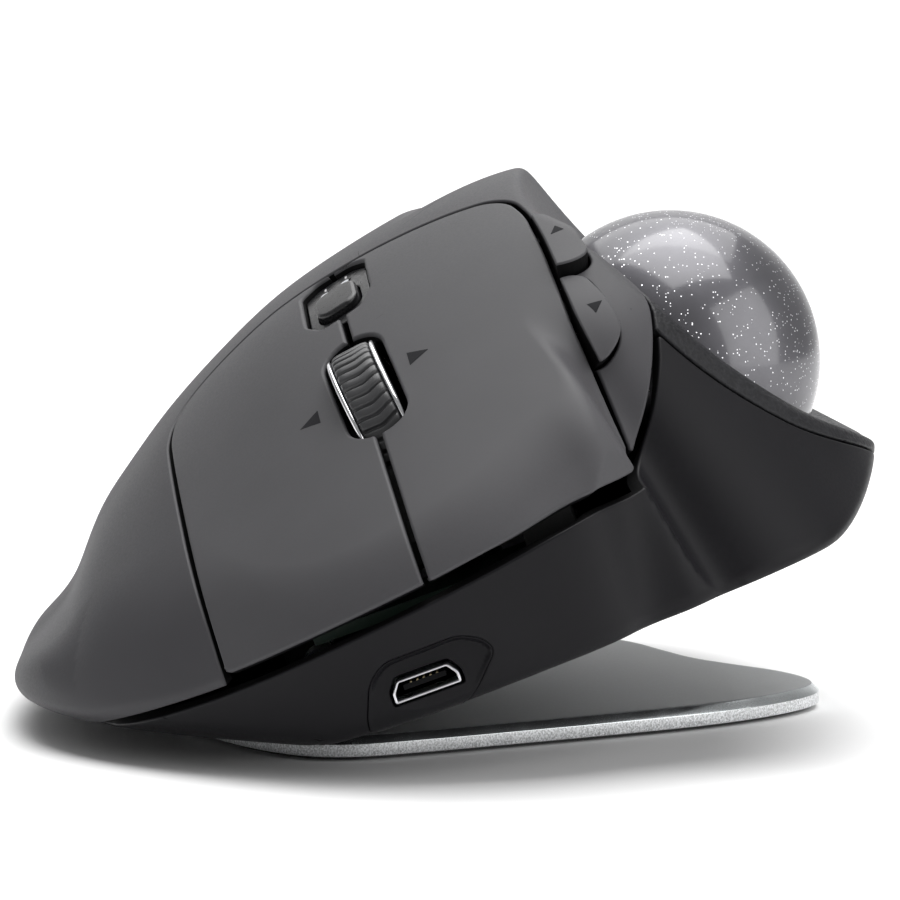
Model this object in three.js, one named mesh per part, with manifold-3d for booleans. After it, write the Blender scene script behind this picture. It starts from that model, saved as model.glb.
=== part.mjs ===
// Thumb-operated trackball mouse on a hinged metal plate.
// Millimetres, +Z up. The buttons face -Y, the ball is on the +X side.
// Body parts are drawn in the body's own frame, where its flat underside is level
// (x across, y toward the palm, z up from the underside), then tilted on the hinge.
import * as THREE from 'three';
import { mergeVertices } from 'three/addons/utils/BufferGeometryUtils.js';
import Module from 'manifold-3d';

const wasm = await Module();
wasm.setup();

// ---- driving dimensions ----
const tiltDegrees = 20;
const plateTop = 2.73;
const soleThickness = 0.4;
const plateChamfer = 0.9;
const plateGap = 0.3;
const hingeHeight = 2.75;
const hingePinRadius = 1.0;

const ballCentre = [49.5, 0, 23];
const ballRadius = 17;
const ballOpeningRadius = 17.35;
const cupInnerRadius = 17.6;
const cupOuterRadius = 19.8;
const cupRimDepth = 5.8;
const bearingRadius = 1.25;

const shellThickness = 2.0;
const thumbCoverDepth = 2.3;
const seam = 0.3;
const buttonGap = 0.5;
const splitGap = 0.8;
const frameOuterLevel = -3.4;
const frameInnerLevel = -4.9;

const wheelCentre = [17.9, -15.7, 26.4];
const wheelRadius = 11.5;
const wheelSlope = 27;
const wheelLean = 8;
const slotLength = 20.6;
const slotWidth = 7.4;

const buttonLift = 1.15;
const sideButtonRaise = 1.0;
const sideButtonDepth = 1.9;
const screwHeadRadius = 1.9;
const screwShaftRadius = 1.0;
const screwPlaces = [[4.8, -33], [38, -27], [36, 40], [7, 70]];

// ---- materials ----
const colours = {
  buttonGrey: [0x54565a, 0.5, 0.0],
  shellGrey: [0x4a4b4e, 0.55, 0.0],
  darkGrey: [0x2c2c2f, 0.6, 0.0],
  black: [0x111113, 0.6, 0.0],
  thumbGrey: [0x3a3a3d, 0.75, 0.0],
  plate: [0x84888a, 0.4, 0.6],
  rubber: [0x1b1b1d, 0.9, 0.0],
  steel: [0xa8abb0, 0.3, 1.0],
  chrome: [0xd8dadd, 0.12, 1.0],
  ball: [0x4c4b50, 0.12, 0.1],
  board: [0x1d5a38, 0.6, 0.0],
  switchBlack: [0x18181a, 0.5, 0.0],
  ceramic: [0xd9d4cc, 0.2, 0.0],
  foil: [0x9da1a6, 0.35, 0.8],
  clear: [0xcfd6da, 0.1, 0.0],
};

function material(name) {
  const [color, roughness, metalness] = colours[name];
  return new THREE.MeshStandardMaterial({ color, roughness, metalness });
}

// ---- small mathematics ----
function clamp(value, low, high) {
  return Math.min(high, Math.max(low, value));
}

function smoothStep(value) {
  const t = clamp(value, 0, 1);
  return t * t * (3 - 2 * t);
}

// larger of two values, blended over a width
function softMax(a, b, width) {
  const t = clamp(0.5 + 0.5 * (a - b) / width, 0, 1);
  return b + (a - b) * t + width * t * (1 - t);
}

// smooth curve through points, straight beyond its ends
function curve(points) {
  const n = points.length;
  const x = points.map((p) => p[0]);
  const y = points.map((p) => p[1]);
  const bend = new Array(n).fill(0);
  const work = new Array(n).fill(0);
  for (let i = 1; i < n - 1; i++) {
    const before = x[i] - x[i - 1];
    const after = x[i + 1] - x[i];
    const share = before / (before + after);
    const pivot = share * bend[i - 1] + 2;
    bend[i] = (share - 1) / pivot;
    const jump = (y[i + 1] - y[i]) / after - (y[i] - y[i - 1]) / before;
    work[i] = (6 * jump / (before + after) - share * work[i - 1]) / pivot;
  }
  const second = new Array(n).fill(0);
  for (let i = n - 2; i > 0; i--) {
    second[i] = bend[i] * second[i + 1] + work[i];
  }
  const firstSlope = (y[1] - y[0]) / (x[1] - x[0]) - second[1] * (x[1] - x[0]) / 6;
  const lastStep = x[n - 1] - x[n - 2];
  const lastSlope = (y[n - 1] - y[n - 2]) / lastStep + second[n - 2] * lastStep / 6;
  return function value(t) {
    if (t <= x[0]) return y[0] + (t - x[0]) * firstSlope;
    if (t >= x[n - 1]) return y[n - 1] + (t - x[n - 1]) * lastSlope;
    let i = 0;
    while (t > x[i + 1]) i++;
    const h = x[i + 1] - x[i];
    const a = (x[i + 1] - t) / h;
    const b = (t - x[i]) / h;
    const cubic = ((a * a * a - a) * second[i] + (b * b * b - b) * second[i + 1]) * h * h / 6;
    return a * y[i] + b * y[i + 1] + cubic;
  };
}

// smooth closed curve of a value against the angle around the body
function ringCurve(angles, values) {
  const points = angles.map((angle, i) => [angle, values[i]]).sort((a, b) => a[0] - b[0]);
  const turn = 2 * Math.PI;
  const before = points.slice(-4).map(([angle, v]) => [angle - turn, v]);
  const after = points.slice(0, 4).map(([angle, v]) => [angle + turn, v]);
  return curve([...before, ...points, ...after]);
}

// ---- the body's outer surface ----
// height of the back, front to rear, along the line of the wheel
const backLine = curve([
  [-60, 10], [-50, 16.4], [-40, 22.6], [-30, 28.4], [-20, 33.8], [-8, 39.4], [5, 43.6],
  [18, 45.4], [30, 45.4], [45, 42.4], [60, 35.5], [74, 25], [84, 13.5], [92, 2],
]);
// fall to each side of that line, at the front and at the crown
const frontFall = curve([
  [-40, -16.5], [-30, -12.5], [-18, -8.6], [-6, -5.6], [6, -2.4], [17, 0], [30, 1.2],
  [42, 1.2], [54, 0.5],
]);
const crownFall = curve([
  [-42, -32.5], [-36, -30.4], [-31.7, -28.8], [-28.8, -27.4], [-26, -25.8], [-23.9, -24],
  [-22, -21.8], [-19.2, -18.7], [-14.8, -15.2], [-9.3, -11.4], [0, -6.2], [8, -2.6],
  [17, 0], [30, 2.3], [42, 2.2], [50, -0.5], [60, -7],
]);
// widest line round the body: x, y, its height, then how much the wall leans below and above it
const outline = [
  [16.5, -49, 13.6, 0.3, -0.5], [4, -46.6, 12.1, 0.3, -0.5], [-6.3, -41, 10.9, 0.34, -0.6],
  [-18, -32.5, 10.5, 0.45, -0.6], [-28, -20, 11.5, 0.55, -0.3], [-33, -4, 13, 0.6, -0.2],
  [-33.9, 12, 13.5, 0.6, -0.2], [-31.6, 30, 13, 0.6, 0], [-25.5, 50, 12, 0.5, 0],
  [-13, 68, 10, 0.35, 0], [2, 79.5, 8, 0.2, 0], [18, 83.5, 8, 0.1, -0.1], [34, 80.5, 8, 0.1, -0.45],
  [46, 72, 8, 0.1, -0.7], [54.5, 58, 7, 0.1, -0.7], [60, 42, 6, 0.05, -0.5], [65, 24, 6, 0, 0],
  [68.4, 6, 6, 0, 0], [67.8, -6, 4, -0.1, -0.1], [64, -18, 2, -0.2, -0.32],
  [57.5, -28.5, 1, -0.2, -0.4], [50, -32.8, 1, -0.1, -0.36], [44.5, -35.5, 4, 0, -0.38],
  [42, -38, 16.7, 0.1, -0.48], [37, -43.4, 16.1, 0.26, -0.5], [28, -47.2, 15, 0.3, -0.5],
];
const middle = [16, 10];
const outlineAngles = outline.map(([x, y]) => Math.atan2(y - middle[1], x - middle[0]));
const outlineRadii = outline.map(([x, y]) => Math.hypot(x - middle[0], y - middle[1]));
const widestRadius = ringCurve(outlineAngles, outlineRadii);
const widestHeight = ringCurve(outlineAngles, outline.map((row) => row[2]));
const leanBelow = ringCurve(outlineAngles, outline.map((row) => row[3]));
const leanAbove = ringCurve(outlineAngles, outline.map((row) => row[4]));
// depth of the thumb hollow along the ball, measured square to the 45 degree slope
const hollowLine = curve([
  [-60, 3.2], [-30, 3.2], [-18, 3], [-9, 0.4], [0, -2.6], [10, -3], [25, -1.4], [40, 1.5],
  [55, 6.5], [75, 16],
]);

function topHeight(x, y) {
  const toCrown = smoothStep((y + 46) / 62);
  return backLine(y) + frontFall(x) * (1 - toCrown) + crownFall(x) * toCrown;
}

function bottomHeight(x, y) {
  const level = softMax(-Math.tan(tiltDegrees * Math.PI / 180) * x, 0, 1.2);
  return level + 0.06 * Math.max(x - 58.5, 0) ** 2 + 0.012 * Math.max(y - 62, 0) ** 2;
}

// distance outside the side wall, negative inside
function wallDistance(x, y, z) {
  const angle = Math.atan2(y - middle[1], x - middle[0]);
  const radius = Math.hypot(x - middle[0], y - middle[1]);
  const above = z - widestHeight(angle);
  const rise = 0.5 * (above + Math.sqrt(above * above + 0.5));
  const lean = above > 0 ? leanAbove(angle) : leanBelow(angle);
  const edge = widestRadius(angle) + leanAbove(angle) * rise + leanBelow(angle) * (above - rise);
  const turn = (widestRadius(angle + 0.001) - widestRadius(angle - 0.001)) / 0.002;
  return (radius - edge) / Math.sqrt(1 + (turn / Math.max(radius, 25)) ** 2 + lean * lean);
}

// distance into the thumb hollow, positive where it is cut away
function hollowDistance(x, y, z) {
  const slope = Math.SQRT1_2;
  const along = (x - ballCentre[0]) * slope - (z - ballCentre[2]) * slope;
  const out = (x - ballCentre[0]) * slope + (z - ballCentre[2]) * slope;
  const inner = Math.max(13 - along, 0);
  const outer = Math.max(along - 13, 0);
  const surface = hollowLine(y) + 0.0102 * inner * inner + 0.03 * outer * outer;
  return (out - surface) / Math.sqrt(1 + (0.0204 * inner) ** 2);
}

function topDistance(x, y, z) {
  const slopeX = (topHeight(x + 0.05, y) - topHeight(x - 0.05, y)) / 0.1;
  const slopeY = (topHeight(x, y + 0.05) - topHeight(x, y - 0.05)) / 0.1;
  return (z - topHeight(x, y)) / Math.sqrt(1 + slopeX * slopeX + slopeY * slopeY);
}

// distance outside the body, negative inside it
function bodyDistance(x, y, z) {
  const rear = 2.2 + 10 * smoothStep((y + 38) / 50);
  const side = Math.min(rear, 2.6 + 0.45 * Math.max(x + 28, 0));
  let d = softMax(topDistance(x, y, z), wallDistance(x, y, z), x < 0 ? side : rear);
  d = softMax(d, (bottomHeight(x, y) - z) * 0.94, x < 0 ? 2.6 : 2);
  return softMax(d, hollowDistance(x, y, z), 1.3);
}

// ---- solids ----
function solid(geometry) {
  const bare = new THREE.BufferGeometry();
  bare.setAttribute('position', geometry.getAttribute('position'));
  bare.setIndex(geometry.getIndex());
  const joined = mergeVertices(bare, 1e-4);
  const vertProperties = new Float32Array(joined.getAttribute('position').array);
  const triVerts = new Uint32Array(joined.getIndex().array);
  const made = new wasm.Manifold(new wasm.Mesh({ numProp: 3, vertProperties, triVerts }));
  if (made.volume() > 0) return made;
  return new wasm.Manifold(new wasm.Mesh({ numProp: 3, vertProperties, triVerts: triVerts.reverse() }));
}

function geometryOf(manifold) {
  const mesh = manifold.getMesh();
  const geometry = new THREE.BufferGeometry();
  geometry.setAttribute('position', new THREE.BufferAttribute(new Float32Array(mesh.vertProperties), 3));
  geometry.setIndex(new THREE.BufferAttribute(new Uint32Array(mesh.triVerts), 1));
  geometry.computeVertexNormals();
  return geometry;
}

// closed surface where the body distance equals a level, drawn on rays from a point inside
const rayStart = [20, 8, 13];

function surfacePoint(direction, level) {
  let near = 0;
  let far = 110;
  for (let i = 0; i < 26; i++) {
    const half = (near + far) / 2;
    const point = rayStart.map((c, k) => c + direction[k] * half);
    if (bodyDistance(...point) < level) near = half;
    else far = half;
  }
  return rayStart.map((c, k) => c + direction[k] * near);
}

function towards(angle, elevation) {
  const flat = Math.cos(elevation);
  return [flat * Math.cos(angle), flat * Math.sin(angle), Math.sin(elevation)];
}

// elevation, seen from inside, at which the surface passes a test that is false below it
function elevationWhere(angle, low, high, test) {
  for (let i = 0; i < 14; i++) {
    const half = (low + high) / 2;
    if (test(...surfacePoint(towards(angle, half), 0))) high = half;
    else low = half;
  }
  return (low + high) / 2;
}

const isWall = (x, y, z) => wallDistance(x, y, z) > (bottomHeight(x, y) - z) * 0.94;
const isTop = (x, y, z) => Math.max(topDistance(x, y, z), hollowDistance(x, y, z)) > wallDistance(x, y, z);

// rows of points run along the two edges of the body: underside to wall, and wall to top
function levelSolid(level, columns, rows) {
  const positions = [...surfacePoint([0, 0, -1], level)];
  const wallRow = Math.round(rows * 0.26);
  const topRow = Math.round(rows * 0.44);
  const edges = [];
  for (let i = 0; i < columns; i++) {
    const angle = 2 * Math.PI * i / columns;
    const wallEdge = elevationWhere(angle, -1.3, -0.05, isWall);
    edges.push([wallEdge, elevationWhere(angle, wallEdge + 0.02, 1.2, isTop)]);
  }
  for (let j = 1; j < rows; j++) {
    for (let i = 0; i < columns; i++) {
      const [wallEdge, topEdge] = edges[i];
      let elevation = wallEdge + (topEdge - wallEdge) * (j - wallRow) / (topRow - wallRow);
      if (j < wallRow) elevation = wallEdge - (wallEdge + Math.PI / 2) * (1 - j / wallRow) ** 1.5;
      if (j > topRow) {
        elevation = topEdge + (Math.PI / 2 - topEdge) * ((j - topRow) / (rows - topRow)) ** 1.3;
      }
      positions.push(...surfacePoint(towards(2 * Math.PI * i / columns, elevation), level));
    }
  }
  positions.push(...surfacePoint([0, 0, 1], level));
  const index = [];
  const at = (j, i) => 1 + (j - 1) * columns + (i % columns);
  const last = positions.length / 3 - 1;
  for (let i = 0; i < columns; i++) {
    index.push(0, at(1, i + 1), at(1, i));
    for (let j = 1; j < rows - 1; j++) {
      index.push(at(j, i), at(j, i + 1), at(j + 1, i));
      index.push(at(j, i + 1), at(j + 1, i + 1), at(j + 1, i));
    }
    index.push(at(rows - 1, i), at(rows - 1, i + 1), last);
  }
  const geometry = new THREE.BufferGeometry();
  geometry.setAttribute('position', new THREE.BufferAttribute(new Float32Array(positions), 3));
  geometry.setIndex(index);
  return solid(geometry);
}

function box(x0, x1, y0, y1, z0, z1) {
  const geometry = new THREE.BoxGeometry(x1 - x0, y1 - y0, z1 - z0);
  geometry.translate((x0 + x1) / 2, (y0 + y1) / 2, (z0 + z1) / 2);
  return solid(geometry);
}

// upright cylinder
function post(x, y, z0, z1, radius, segments = 14) {
  const geometry = new THREE.CylinderGeometry(radius, radius, z1 - z0, segments);
  geometry.rotateX(Math.PI / 2);
  geometry.translate(x, y, (z0 + z1) / 2);
  return solid(geometry);
}

function ballAt(centre, radius, around = 32, down = 20) {
  const geometry = new THREE.SphereGeometry(radius, around, down);
  geometry.translate(...centre);
  return solid(geometry);
}

function prism(points, z0, z1) {
  const shape = new THREE.Shape(points.map(([x, y]) => new THREE.Vector2(x, y)));
  const geometry = new THREE.ExtrudeGeometry(shape, { depth: z1 - z0, bevelEnabled: false });
  geometry.translate(0, 0, z0);
  return solid(geometry);
}

function lathe(points, segments) {
  const profile = points.map(([radius, height]) => new THREE.Vector2(radius, height));
  const geometry = new THREE.LatheGeometry(profile, segments);
  geometry.rotateX(Math.PI / 2);
  return solid(geometry);
}

function placed(manifold, matrix) {
  return manifold.transform(matrix.elements);
}

// matrix with its Z along a direction and its X as near as can be to a second one
function frameAt(origin, zAxis, xHint) {
  const z = new THREE.Vector3(...zAxis).normalize();
  const y = new THREE.Vector3().crossVectors(z, new THREE.Vector3(...xHint)).normalize();
  const x = new THREE.Vector3().crossVectors(y, z);
  return new THREE.Matrix4().makeBasis(x, y, z).setPosition(...origin);
}

function stadium(length, width, steps = 6) {
  const points = [];
  for (const end of [1, -1]) {
    for (let i = 0; i <= steps; i++) {
      const angle = (i / steps - 0.5) * Math.PI + (end > 0 ? 0 : Math.PI);
      const x = end * (length - width) / 2 + Math.cos(angle) * width / 2;
      points.push([x, Math.sin(angle) * width / 2]);
    }
  }
  return points;
}

function grown(points, distance) {
  const n = points.length;
  return points.map(([x, y], i) => {
    const [ax, ay] = points[(i + n - 1) % n];
    const [bx, by] = points[(i + 1) % n];
    const length = Math.hypot(bx - ax, by - ay);
    return [x + (by - ay) / length * distance, y - (bx - ax) / length * distance];
  });
}

// ---- seams ----
// height of the seam between upper and lower shell round the body
const seamPoints = [
  [16.5, -49, 12.8], [4, -46.6, 11.3], [-6.3, -41, 10.0], [-18, -32.5, 9.2], [-27.5, -20, 9],
  [-32.6, -4, 9.5], [-33.8, 12, 10], [-31, 30, 10], [-24.5, 50, 10], [-13, 68, 10],
  [2, 79.5, 10], [18, 83.5, 10.5], [34, 80.5, 12], [46, 72, 15], [54.5, 58, 22],
  [54, 42, 30], [46, 20, 35.5], [46.5, 0, 35.5], [47.5, -14, 33.5], [49.1, -21.3, 28.8],
  [47, -25.4, 24.1], [43.8, -29.5, 18.8], [42, -34, 15.9], [37, -43.4, 15.3], [28, -47.2, 14.2],
];
const seamHeight = ringCurve(
  seamPoints.map(([x, y]) => Math.atan2(y - middle[1], x - middle[0])),
  seamPoints.map((row) => row[2]),
);

// solid filling everything above the seam, raised by an amount
function aboveSeam(raise, columns = 54) {
  const positions = [];
  const index = [];
  const rings = [[10, 0], [130, 0], [130, 1], [10, 1]];
  const mean = 18 + raise;
  for (let i = 0; i < columns; i++) {
    let angle = 2 * Math.PI * i / columns;
    if (angle > Math.PI) angle -= 2 * Math.PI;
    for (const [radius, top] of rings) {
      const z = top ? 90 : seamHeight(angle) + raise;
      positions.push(middle[0] + radius * Math.cos(angle), middle[1] + radius * Math.sin(angle), z);
    }
  }
  positions.push(middle[0], middle[1], mean, middle[0], middle[1], 90);
  const low = columns * 4;
  for (let i = 0; i < columns; i++) {
    const a = i * 4;
    const b = ((i + 1) % columns) * 4;
    index.push(low, b, a, low + 1, a + 3, b + 3);
    for (let k = 0; k < 3; k++) {
      index.push(a + k, b + k, b + k + 1, a + k, b + k + 1, a + k + 1);
    }
  }
  const geometry = new THREE.BufferGeometry();
  geometry.setAttribute('position', new THREE.BufferAttribute(new Float32Array(positions), 3));
  geometry.setIndex(index);
  return solid(geometry);
}

// plan outline of the two main buttons together
const buttonPlan = [
  [-7.2, -60], [42.4, -60], [42.2, -31], [41, -24], [40.6, -10], [39.9, -1], [38.6, 4],
  [36, 6.6], [30, 8.4], [20, 11], [8, 13], [0, 13.4], [-4, 12], [-6.6, 8], [-7.4, 2], [-7.3, -21],
];
const splitFront = [17.25, -60];
const splitRear = [16.1, 20];

function splitSide(sign) {
  const shift = sign * splitGap / 2;
  const points = [
    [splitFront[0] + shift, splitFront[1]], [splitFront[0] + sign * 60, splitFront[1]],
    [splitRear[0] + sign * 60, splitRear[1]], [splitRear[0] + shift, splitRear[1]],
  ];
  return prism(sign > 0 ? points : points.reverse(), -5, 95);
}

// ---- assembly ----
const group = new THREE.Group();
group.name = 'trackball_mouse';
const housing = new THREE.Group();
const tilt = tiltDegrees * Math.PI / 180;
housing.rotation.y = -tilt;
const hingeX = -hingeHeight * Math.sin(tilt);
const hingeZ = plateTop + plateGap + hingeHeight;
const liftX = hingeX + hingeHeight * Math.sin(tilt);
housing.position.set(liftX, 0, hingeZ - hingeHeight * Math.cos(tilt));
group.add(housing);

// only the largest piece is kept: slivers left where two seams meet are dropped
function add(parent, name, manifold, materialName) {
  const [largest] = manifold.decompose().sort((a, b) => b.volume() - a.volume());
  const mesh = new THREE.Mesh(geometryOf(largest), material(materialName));
  mesh.name = name;
  parent.add(mesh);
}

// ---- plate, sole and hinge ----
const platePlan = [
  [4, -27], [12, -23], [22, -17], [34, -9.5], [44, -2.5], [51.5, 5], [55.6, 11.5], [56.6, 16],
  [55.6, 21], [52.5, 26.5], [48, 31.5], [43.5, 37], [40, 44], [36, 52], [29, 58], [20, 60.5],
  [8, 60], [-4, 56], [-13, 48], [-18, 37], [-20, 24], [-19.4, 10], [-16.5, -4], [-12, -15],
  [-6, -23.5], [-1, -27],
];

function slab(plan, levels) {
  const positions = [];
  const index = [];
  const n = plan.length;
  for (const [z, inset] of levels) {
    for (const [x, y] of grown(plan, -inset)) positions.push(x, y, z);
  }
  for (let k = 0; k + 1 < levels.length; k++) {
    for (let i = 0; i < n; i++) {
      const a = k * n + i;
      const b = k * n + (i + 1) % n;
      index.push(a, b, b + n, a, b + n, a + n);
    }
  }
  const caps = THREE.ShapeUtils.triangulateShape(plan.map(([x, y]) => new THREE.Vector2(x, y)), []);
  const top = (levels.length - 1) * n;
  for (const [a, b, c] of caps) {
    index.push(a, c, b, top + a, top + b, top + c);
  }
  const geometry = new THREE.BufferGeometry();
  geometry.setAttribute('position', new THREE.BufferAttribute(new Float32Array(positions), 3));
  geometry.setIndex(index);
  return solid(geometry);
}

const roundPlan = new THREE.CatmullRomCurve3(
  platePlan.map(([x, y]) => new THREE.Vector3(x, y, 0)), true, 'centripetal',
).getPoints(60).slice(0, -1).map((p) => [p.x, p.y]);
add(group, 'base_plate', slab(roundPlan, [
  [soleThickness, 0.25], [soleThickness + 0.25, 0], [plateTop - plateChamfer, 0],
  [plateTop, plateChamfer],
]), 'plate');
add(group, 'sole_pad', slab(grown(roundPlan, -1.3), [[0, 0], [soleThickness, 0]]), 'rubber');

const lugHalfWidth = 2.2;
const lugLength = 5;
const lugPositions = [6, 40];

function alongY(radius, y0, y1, segments = 24) {
  const geometry = new THREE.CylinderGeometry(radius, radius, y1 - y0, segments);
  geometry.translate(0, (y0 + y1) / 2, 0);
  return solid(geometry);
}

lugPositions.forEach((y, i) => {
  const block = box(-lugHalfWidth, lugHalfWidth, y, y + lugLength, plateTop - hingeZ, 0);
  const lug = block.add(alongY(lugHalfWidth, y, y + lugLength));
  const bored = lug.subtract(alongY(hingePinRadius, y - 1, y + lugLength + 1));
  add(group, i === 0 ? 'hinge_lug_front' : 'hinge_lug_rear', bored.translate([hingeX, 0, hingeZ]), 'steel');
});
add(group, 'hinge_pin', alongY(hingePinRadius, lugPositions[0] - 4, lugPositions[1] + lugLength + 4)
  .translate([hingeX, 0, hingeZ]), 'steel');

// ---- shells ----
const outer = levelSolid(0, 54, 30);
const inner = levelSolid(-shellThickness, 30, 20);
const shell = outer.subtract(inner);
const above = aboveSeam(seam / 2);
const below = box(-90, 130, -90, 130, -20, 95).subtract(aboveSeam(-seam / 2));
const ballOpening = ballAt(ballCentre, ballOpeningRadius, 32, 18);

// the thumb cover is the layer just under the hollow's surface
const coverLine = levelHollow(-thumbCoverDepth);
const lowerLine = levelHollow(-thumbCoverDepth - seam);

// solid filling the hollow above a level of its distance
function levelHollow(level) {
  const columns = 16;
  const rows = 22;
  const positions = [];
  const index = [];
  const slope = Math.SQRT1_2;
  for (let j = 0; j <= rows; j++) {
    const y = -62 + 160 * j / rows;
    for (let i = 0; i <= columns; i++) {
      const along = -42 + 82 * i / columns;
      const inside = Math.max(13 - along, 0);
      const outside = Math.max(along - 13, 0);
      const surface = hollowLine(y) + 0.0102 * inside * inside + 0.03 * outside * outside;
      const out = surface + level * Math.sqrt(1 + (0.0204 * inside) ** 2);
      for (const q of [out, 95]) {
        positions.push(ballCentre[0] + (along + q) * slope, y, ballCentre[2] + (q - along) * slope);
      }
    }
  }
  const at = (j, i, top) => (j * (columns + 1) + i) * 2 + top;
  const quad = (a, b, c, d) => index.push(a, b, c, a, c, d);
  for (let j = 0; j < rows; j++) {
    for (let i = 0; i < columns; i++) {
      quad(at(j, i, 0), at(j + 1, i, 0), at(j + 1, i + 1, 0), at(j, i + 1, 0));
      quad(at(j, i, 1), at(j, i + 1, 1), at(j + 1, i + 1, 1), at(j + 1, i, 1));
    }
    quad(at(j, 0, 0), at(j, 0, 1), at(j + 1, 0, 1), at(j + 1, 0, 0));
    quad(at(j, columns, 0), at(j + 1, columns, 0), at(j + 1, columns, 1), at(j, columns, 1));
  }
  for (let i = 0; i < columns; i++) {
    quad(at(0, i, 0), at(0, i + 1, 0), at(0, i + 1, 1), at(0, i, 1));
    quad(at(rows, i, 0), at(rows, i, 1), at(rows, i + 1, 1), at(rows, i + 1, 0));
  }
  const geometry = new THREE.BufferGeometry();
  geometry.setAttribute('position', new THREE.BufferAttribute(new Float32Array(positions), 3));
  geometry.setIndex(index);
  return solid(geometry);
}

// ---- places on the body ----
function pointAlong(origin, direction, distance) {
  return origin.map((c, k) => c + direction[k] * distance);
}

function unit(direction) {
  const length = Math.hypot(...direction);
  return direction.map((c) => c / length);
}

// matrix for a button set square to the body's surface, found by going out from a point inside
function surfaceFrame(start, direction, along) {
  const out = unit(direction);
  let distance = 0;
  while (bodyDistance(...pointAlong(start, out, distance)) < 0) distance += 0.02;
  return frameAt(pointAlong(start, out, distance), out, along);
}

const lean = wheelLean * Math.PI / 180;
const slope = wheelSlope * Math.PI / 180;
const wheelAxis = [Math.cos(lean), 0, Math.sin(lean)];
const wheelNormal = [-Math.sin(lean) * Math.cos(slope), -Math.sin(slope), Math.cos(lean) * Math.cos(slope)];
const wheelFrame = frameAt(wheelCentre, wheelNormal, wheelAxis);
const slotPlan = stadium(slotLength, slotWidth).map(([x, y]) => [y, x]);
const slot = placed(prism(slotPlan, 3, 22), wheelFrame);
const wheelSpace = placed(post(0, 0, -3.65, 3.65, wheelRadius + 0.6, 32).rotate([0, 90, 0]), wheelFrame);
const frameSlot = placed(prism(grown(slotPlan.reverse(), 2.3), 0, 22), wheelFrame);

const sideDirection = [0.62, -0.2, 0.76];
const stripLine = [0.1, -0.86, -0.5];
const forwardFrame = surfaceFrame([35.9, -7.6, 34.3], sideDirection, stripLine);
const backFrame = surfaceFrame([37.3, -20.2, 27.6], sideDirection, [0.12, -0.68, -0.72]);
const precisionFrame = surfaceFrame([40, 24, 27.5], [0.94, 0.05, 0.34], [0, 1, 0]);
const forwardPlan = stadium(15.4, 5.2);
const backPlan = stadium(12.6, 5.2);
const precisionPlan = stadium(8.2, 6.4);

const panelPlan = [
  [12.3, -1.2], [13.9, -4.2], [18.6, -4.0], [20.2, -1.0], [20.2, 8.6], [18.4, 10.6],
  [14.2, 10.9], [12.3, 9.2],
];
const pairingPlan = [
  [13.6, -0.8], [14.6, -1.9], [17.8, -1.9], [18.8, -0.8], [18.8, 3.4], [17.8, 4.4],
  [14.6, 4.4], [13.6, 3.4],
];
const lightPlaces = [[14.9, 7.6], [17.6, 7.6]];

// piece that follows the body's surface inside a plan, from one height over it to another below
function surfaceSlab(cutter, direction, over, under) {
  const top = outer.translate(direction.map((c) => c * over));
  const bottom = outer.translate(direction.map((c) => -c * under));
  return cutter.intersect(top).subtract(bottom);
}

function pocket(plan, frame, clearance = 0.25) {
  return placed(prism(grown(plan, clearance), -10, 8), frame);
}

const sidePockets = pocket(forwardPlan, forwardFrame).add(pocket(backPlan, backFrame));

// ---- openings and bosses of the shells ----
const hingeBlock = box(-5.5, 5.5, 1, 52, -3, 6.9);
const usbBoss = box(3, 24, -48, -42.4, -1, 9.6);
const legPlaces = [[-9, 6], [-4, -14], [31.5, -22]];
let bosses = hingeBlock.add(usbBoss);
for (const [x, y] of screwPlaces) bosses = bosses.add(post(x, y, -1, 10.5, 2.5));
for (const [x, y] of legPlaces) bosses = bosses.add(post(x, y, -1, 9, 2.9));

let cuts = alongY(hingePinRadius + 0.05, 1.8, 49.2).translate([0, 0, hingeHeight]);
for (const y of lugPositions) {
  cuts = cuts.add(box(-3.5, 3.5, y - 0.4, y + lugLength + 0.4, -5, hingeHeight + 2.6));
}
for (const [x, y] of screwPlaces) {
  cuts = cuts.add(post(x, y, -3, 1.75, screwHeadRadius + 0.2));
  cuts = cuts.add(post(x, y, 0, 9.6, screwShaftRadius + 0.05, 12));
}
for (const [x, y] of legPlaces) cuts = cuts.add(post(x, y, 6.2, 12, 1.95));

// eye-shaped recess round the charging socket, then the socket's own opening
const usbCentre = [13.2, 3.8];
const usbRecess = [
  [5.6, 1.2], [7.4, 5.6], [9.6, 7.4], [18.2, 7.6], [20.6, 6.2], [21.4, 4.6], [18, 1], [12, -2.4], [6, -3],
];

// prism that runs from front to rear, its plan given as x and height
function facingFront(plan, y0, y1) {
  return prism(plan, -y1, -y0).rotate([90, 0, 0]);
}

// outline of the charging port, narrower at the top
const portPlan = [[-3.75, -1.15], [3.75, -1.15], [3.75, 0], [2.85, 1.25], [-2.85, 1.25], [-3.75, 0]];

function portShape(growth) {
  return grown(portPlan, growth).map(([x, z]) => [x + usbCentre[0], z + usbCentre[1]]);
}

cuts = cuts.add(facingFront(usbRecess, -60, -45.1));
cuts = cuts.add(facingFront(portShape(0.35), -60, -40));

// power slider opening and the hole for pushing the ball out, both on the underside
const sliderPlace = [50, -17];
const [sliderX, sliderY] = sliderPlace;
const pushOutHole = post(ballCentre[0], 0, -3, 8, 1.8);
cuts = cuts.add(box(sliderX - 4.2, sliderX + 4.2, sliderY - 2.2, sliderY + 2.2, -2, 6));
cuts = cuts.add(box(sliderX - 5, sliderX + 5, sliderY - 3.3, sliderY + 3.3, 2.3, 7));
cuts = cuts.add(pushOutHole);

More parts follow.
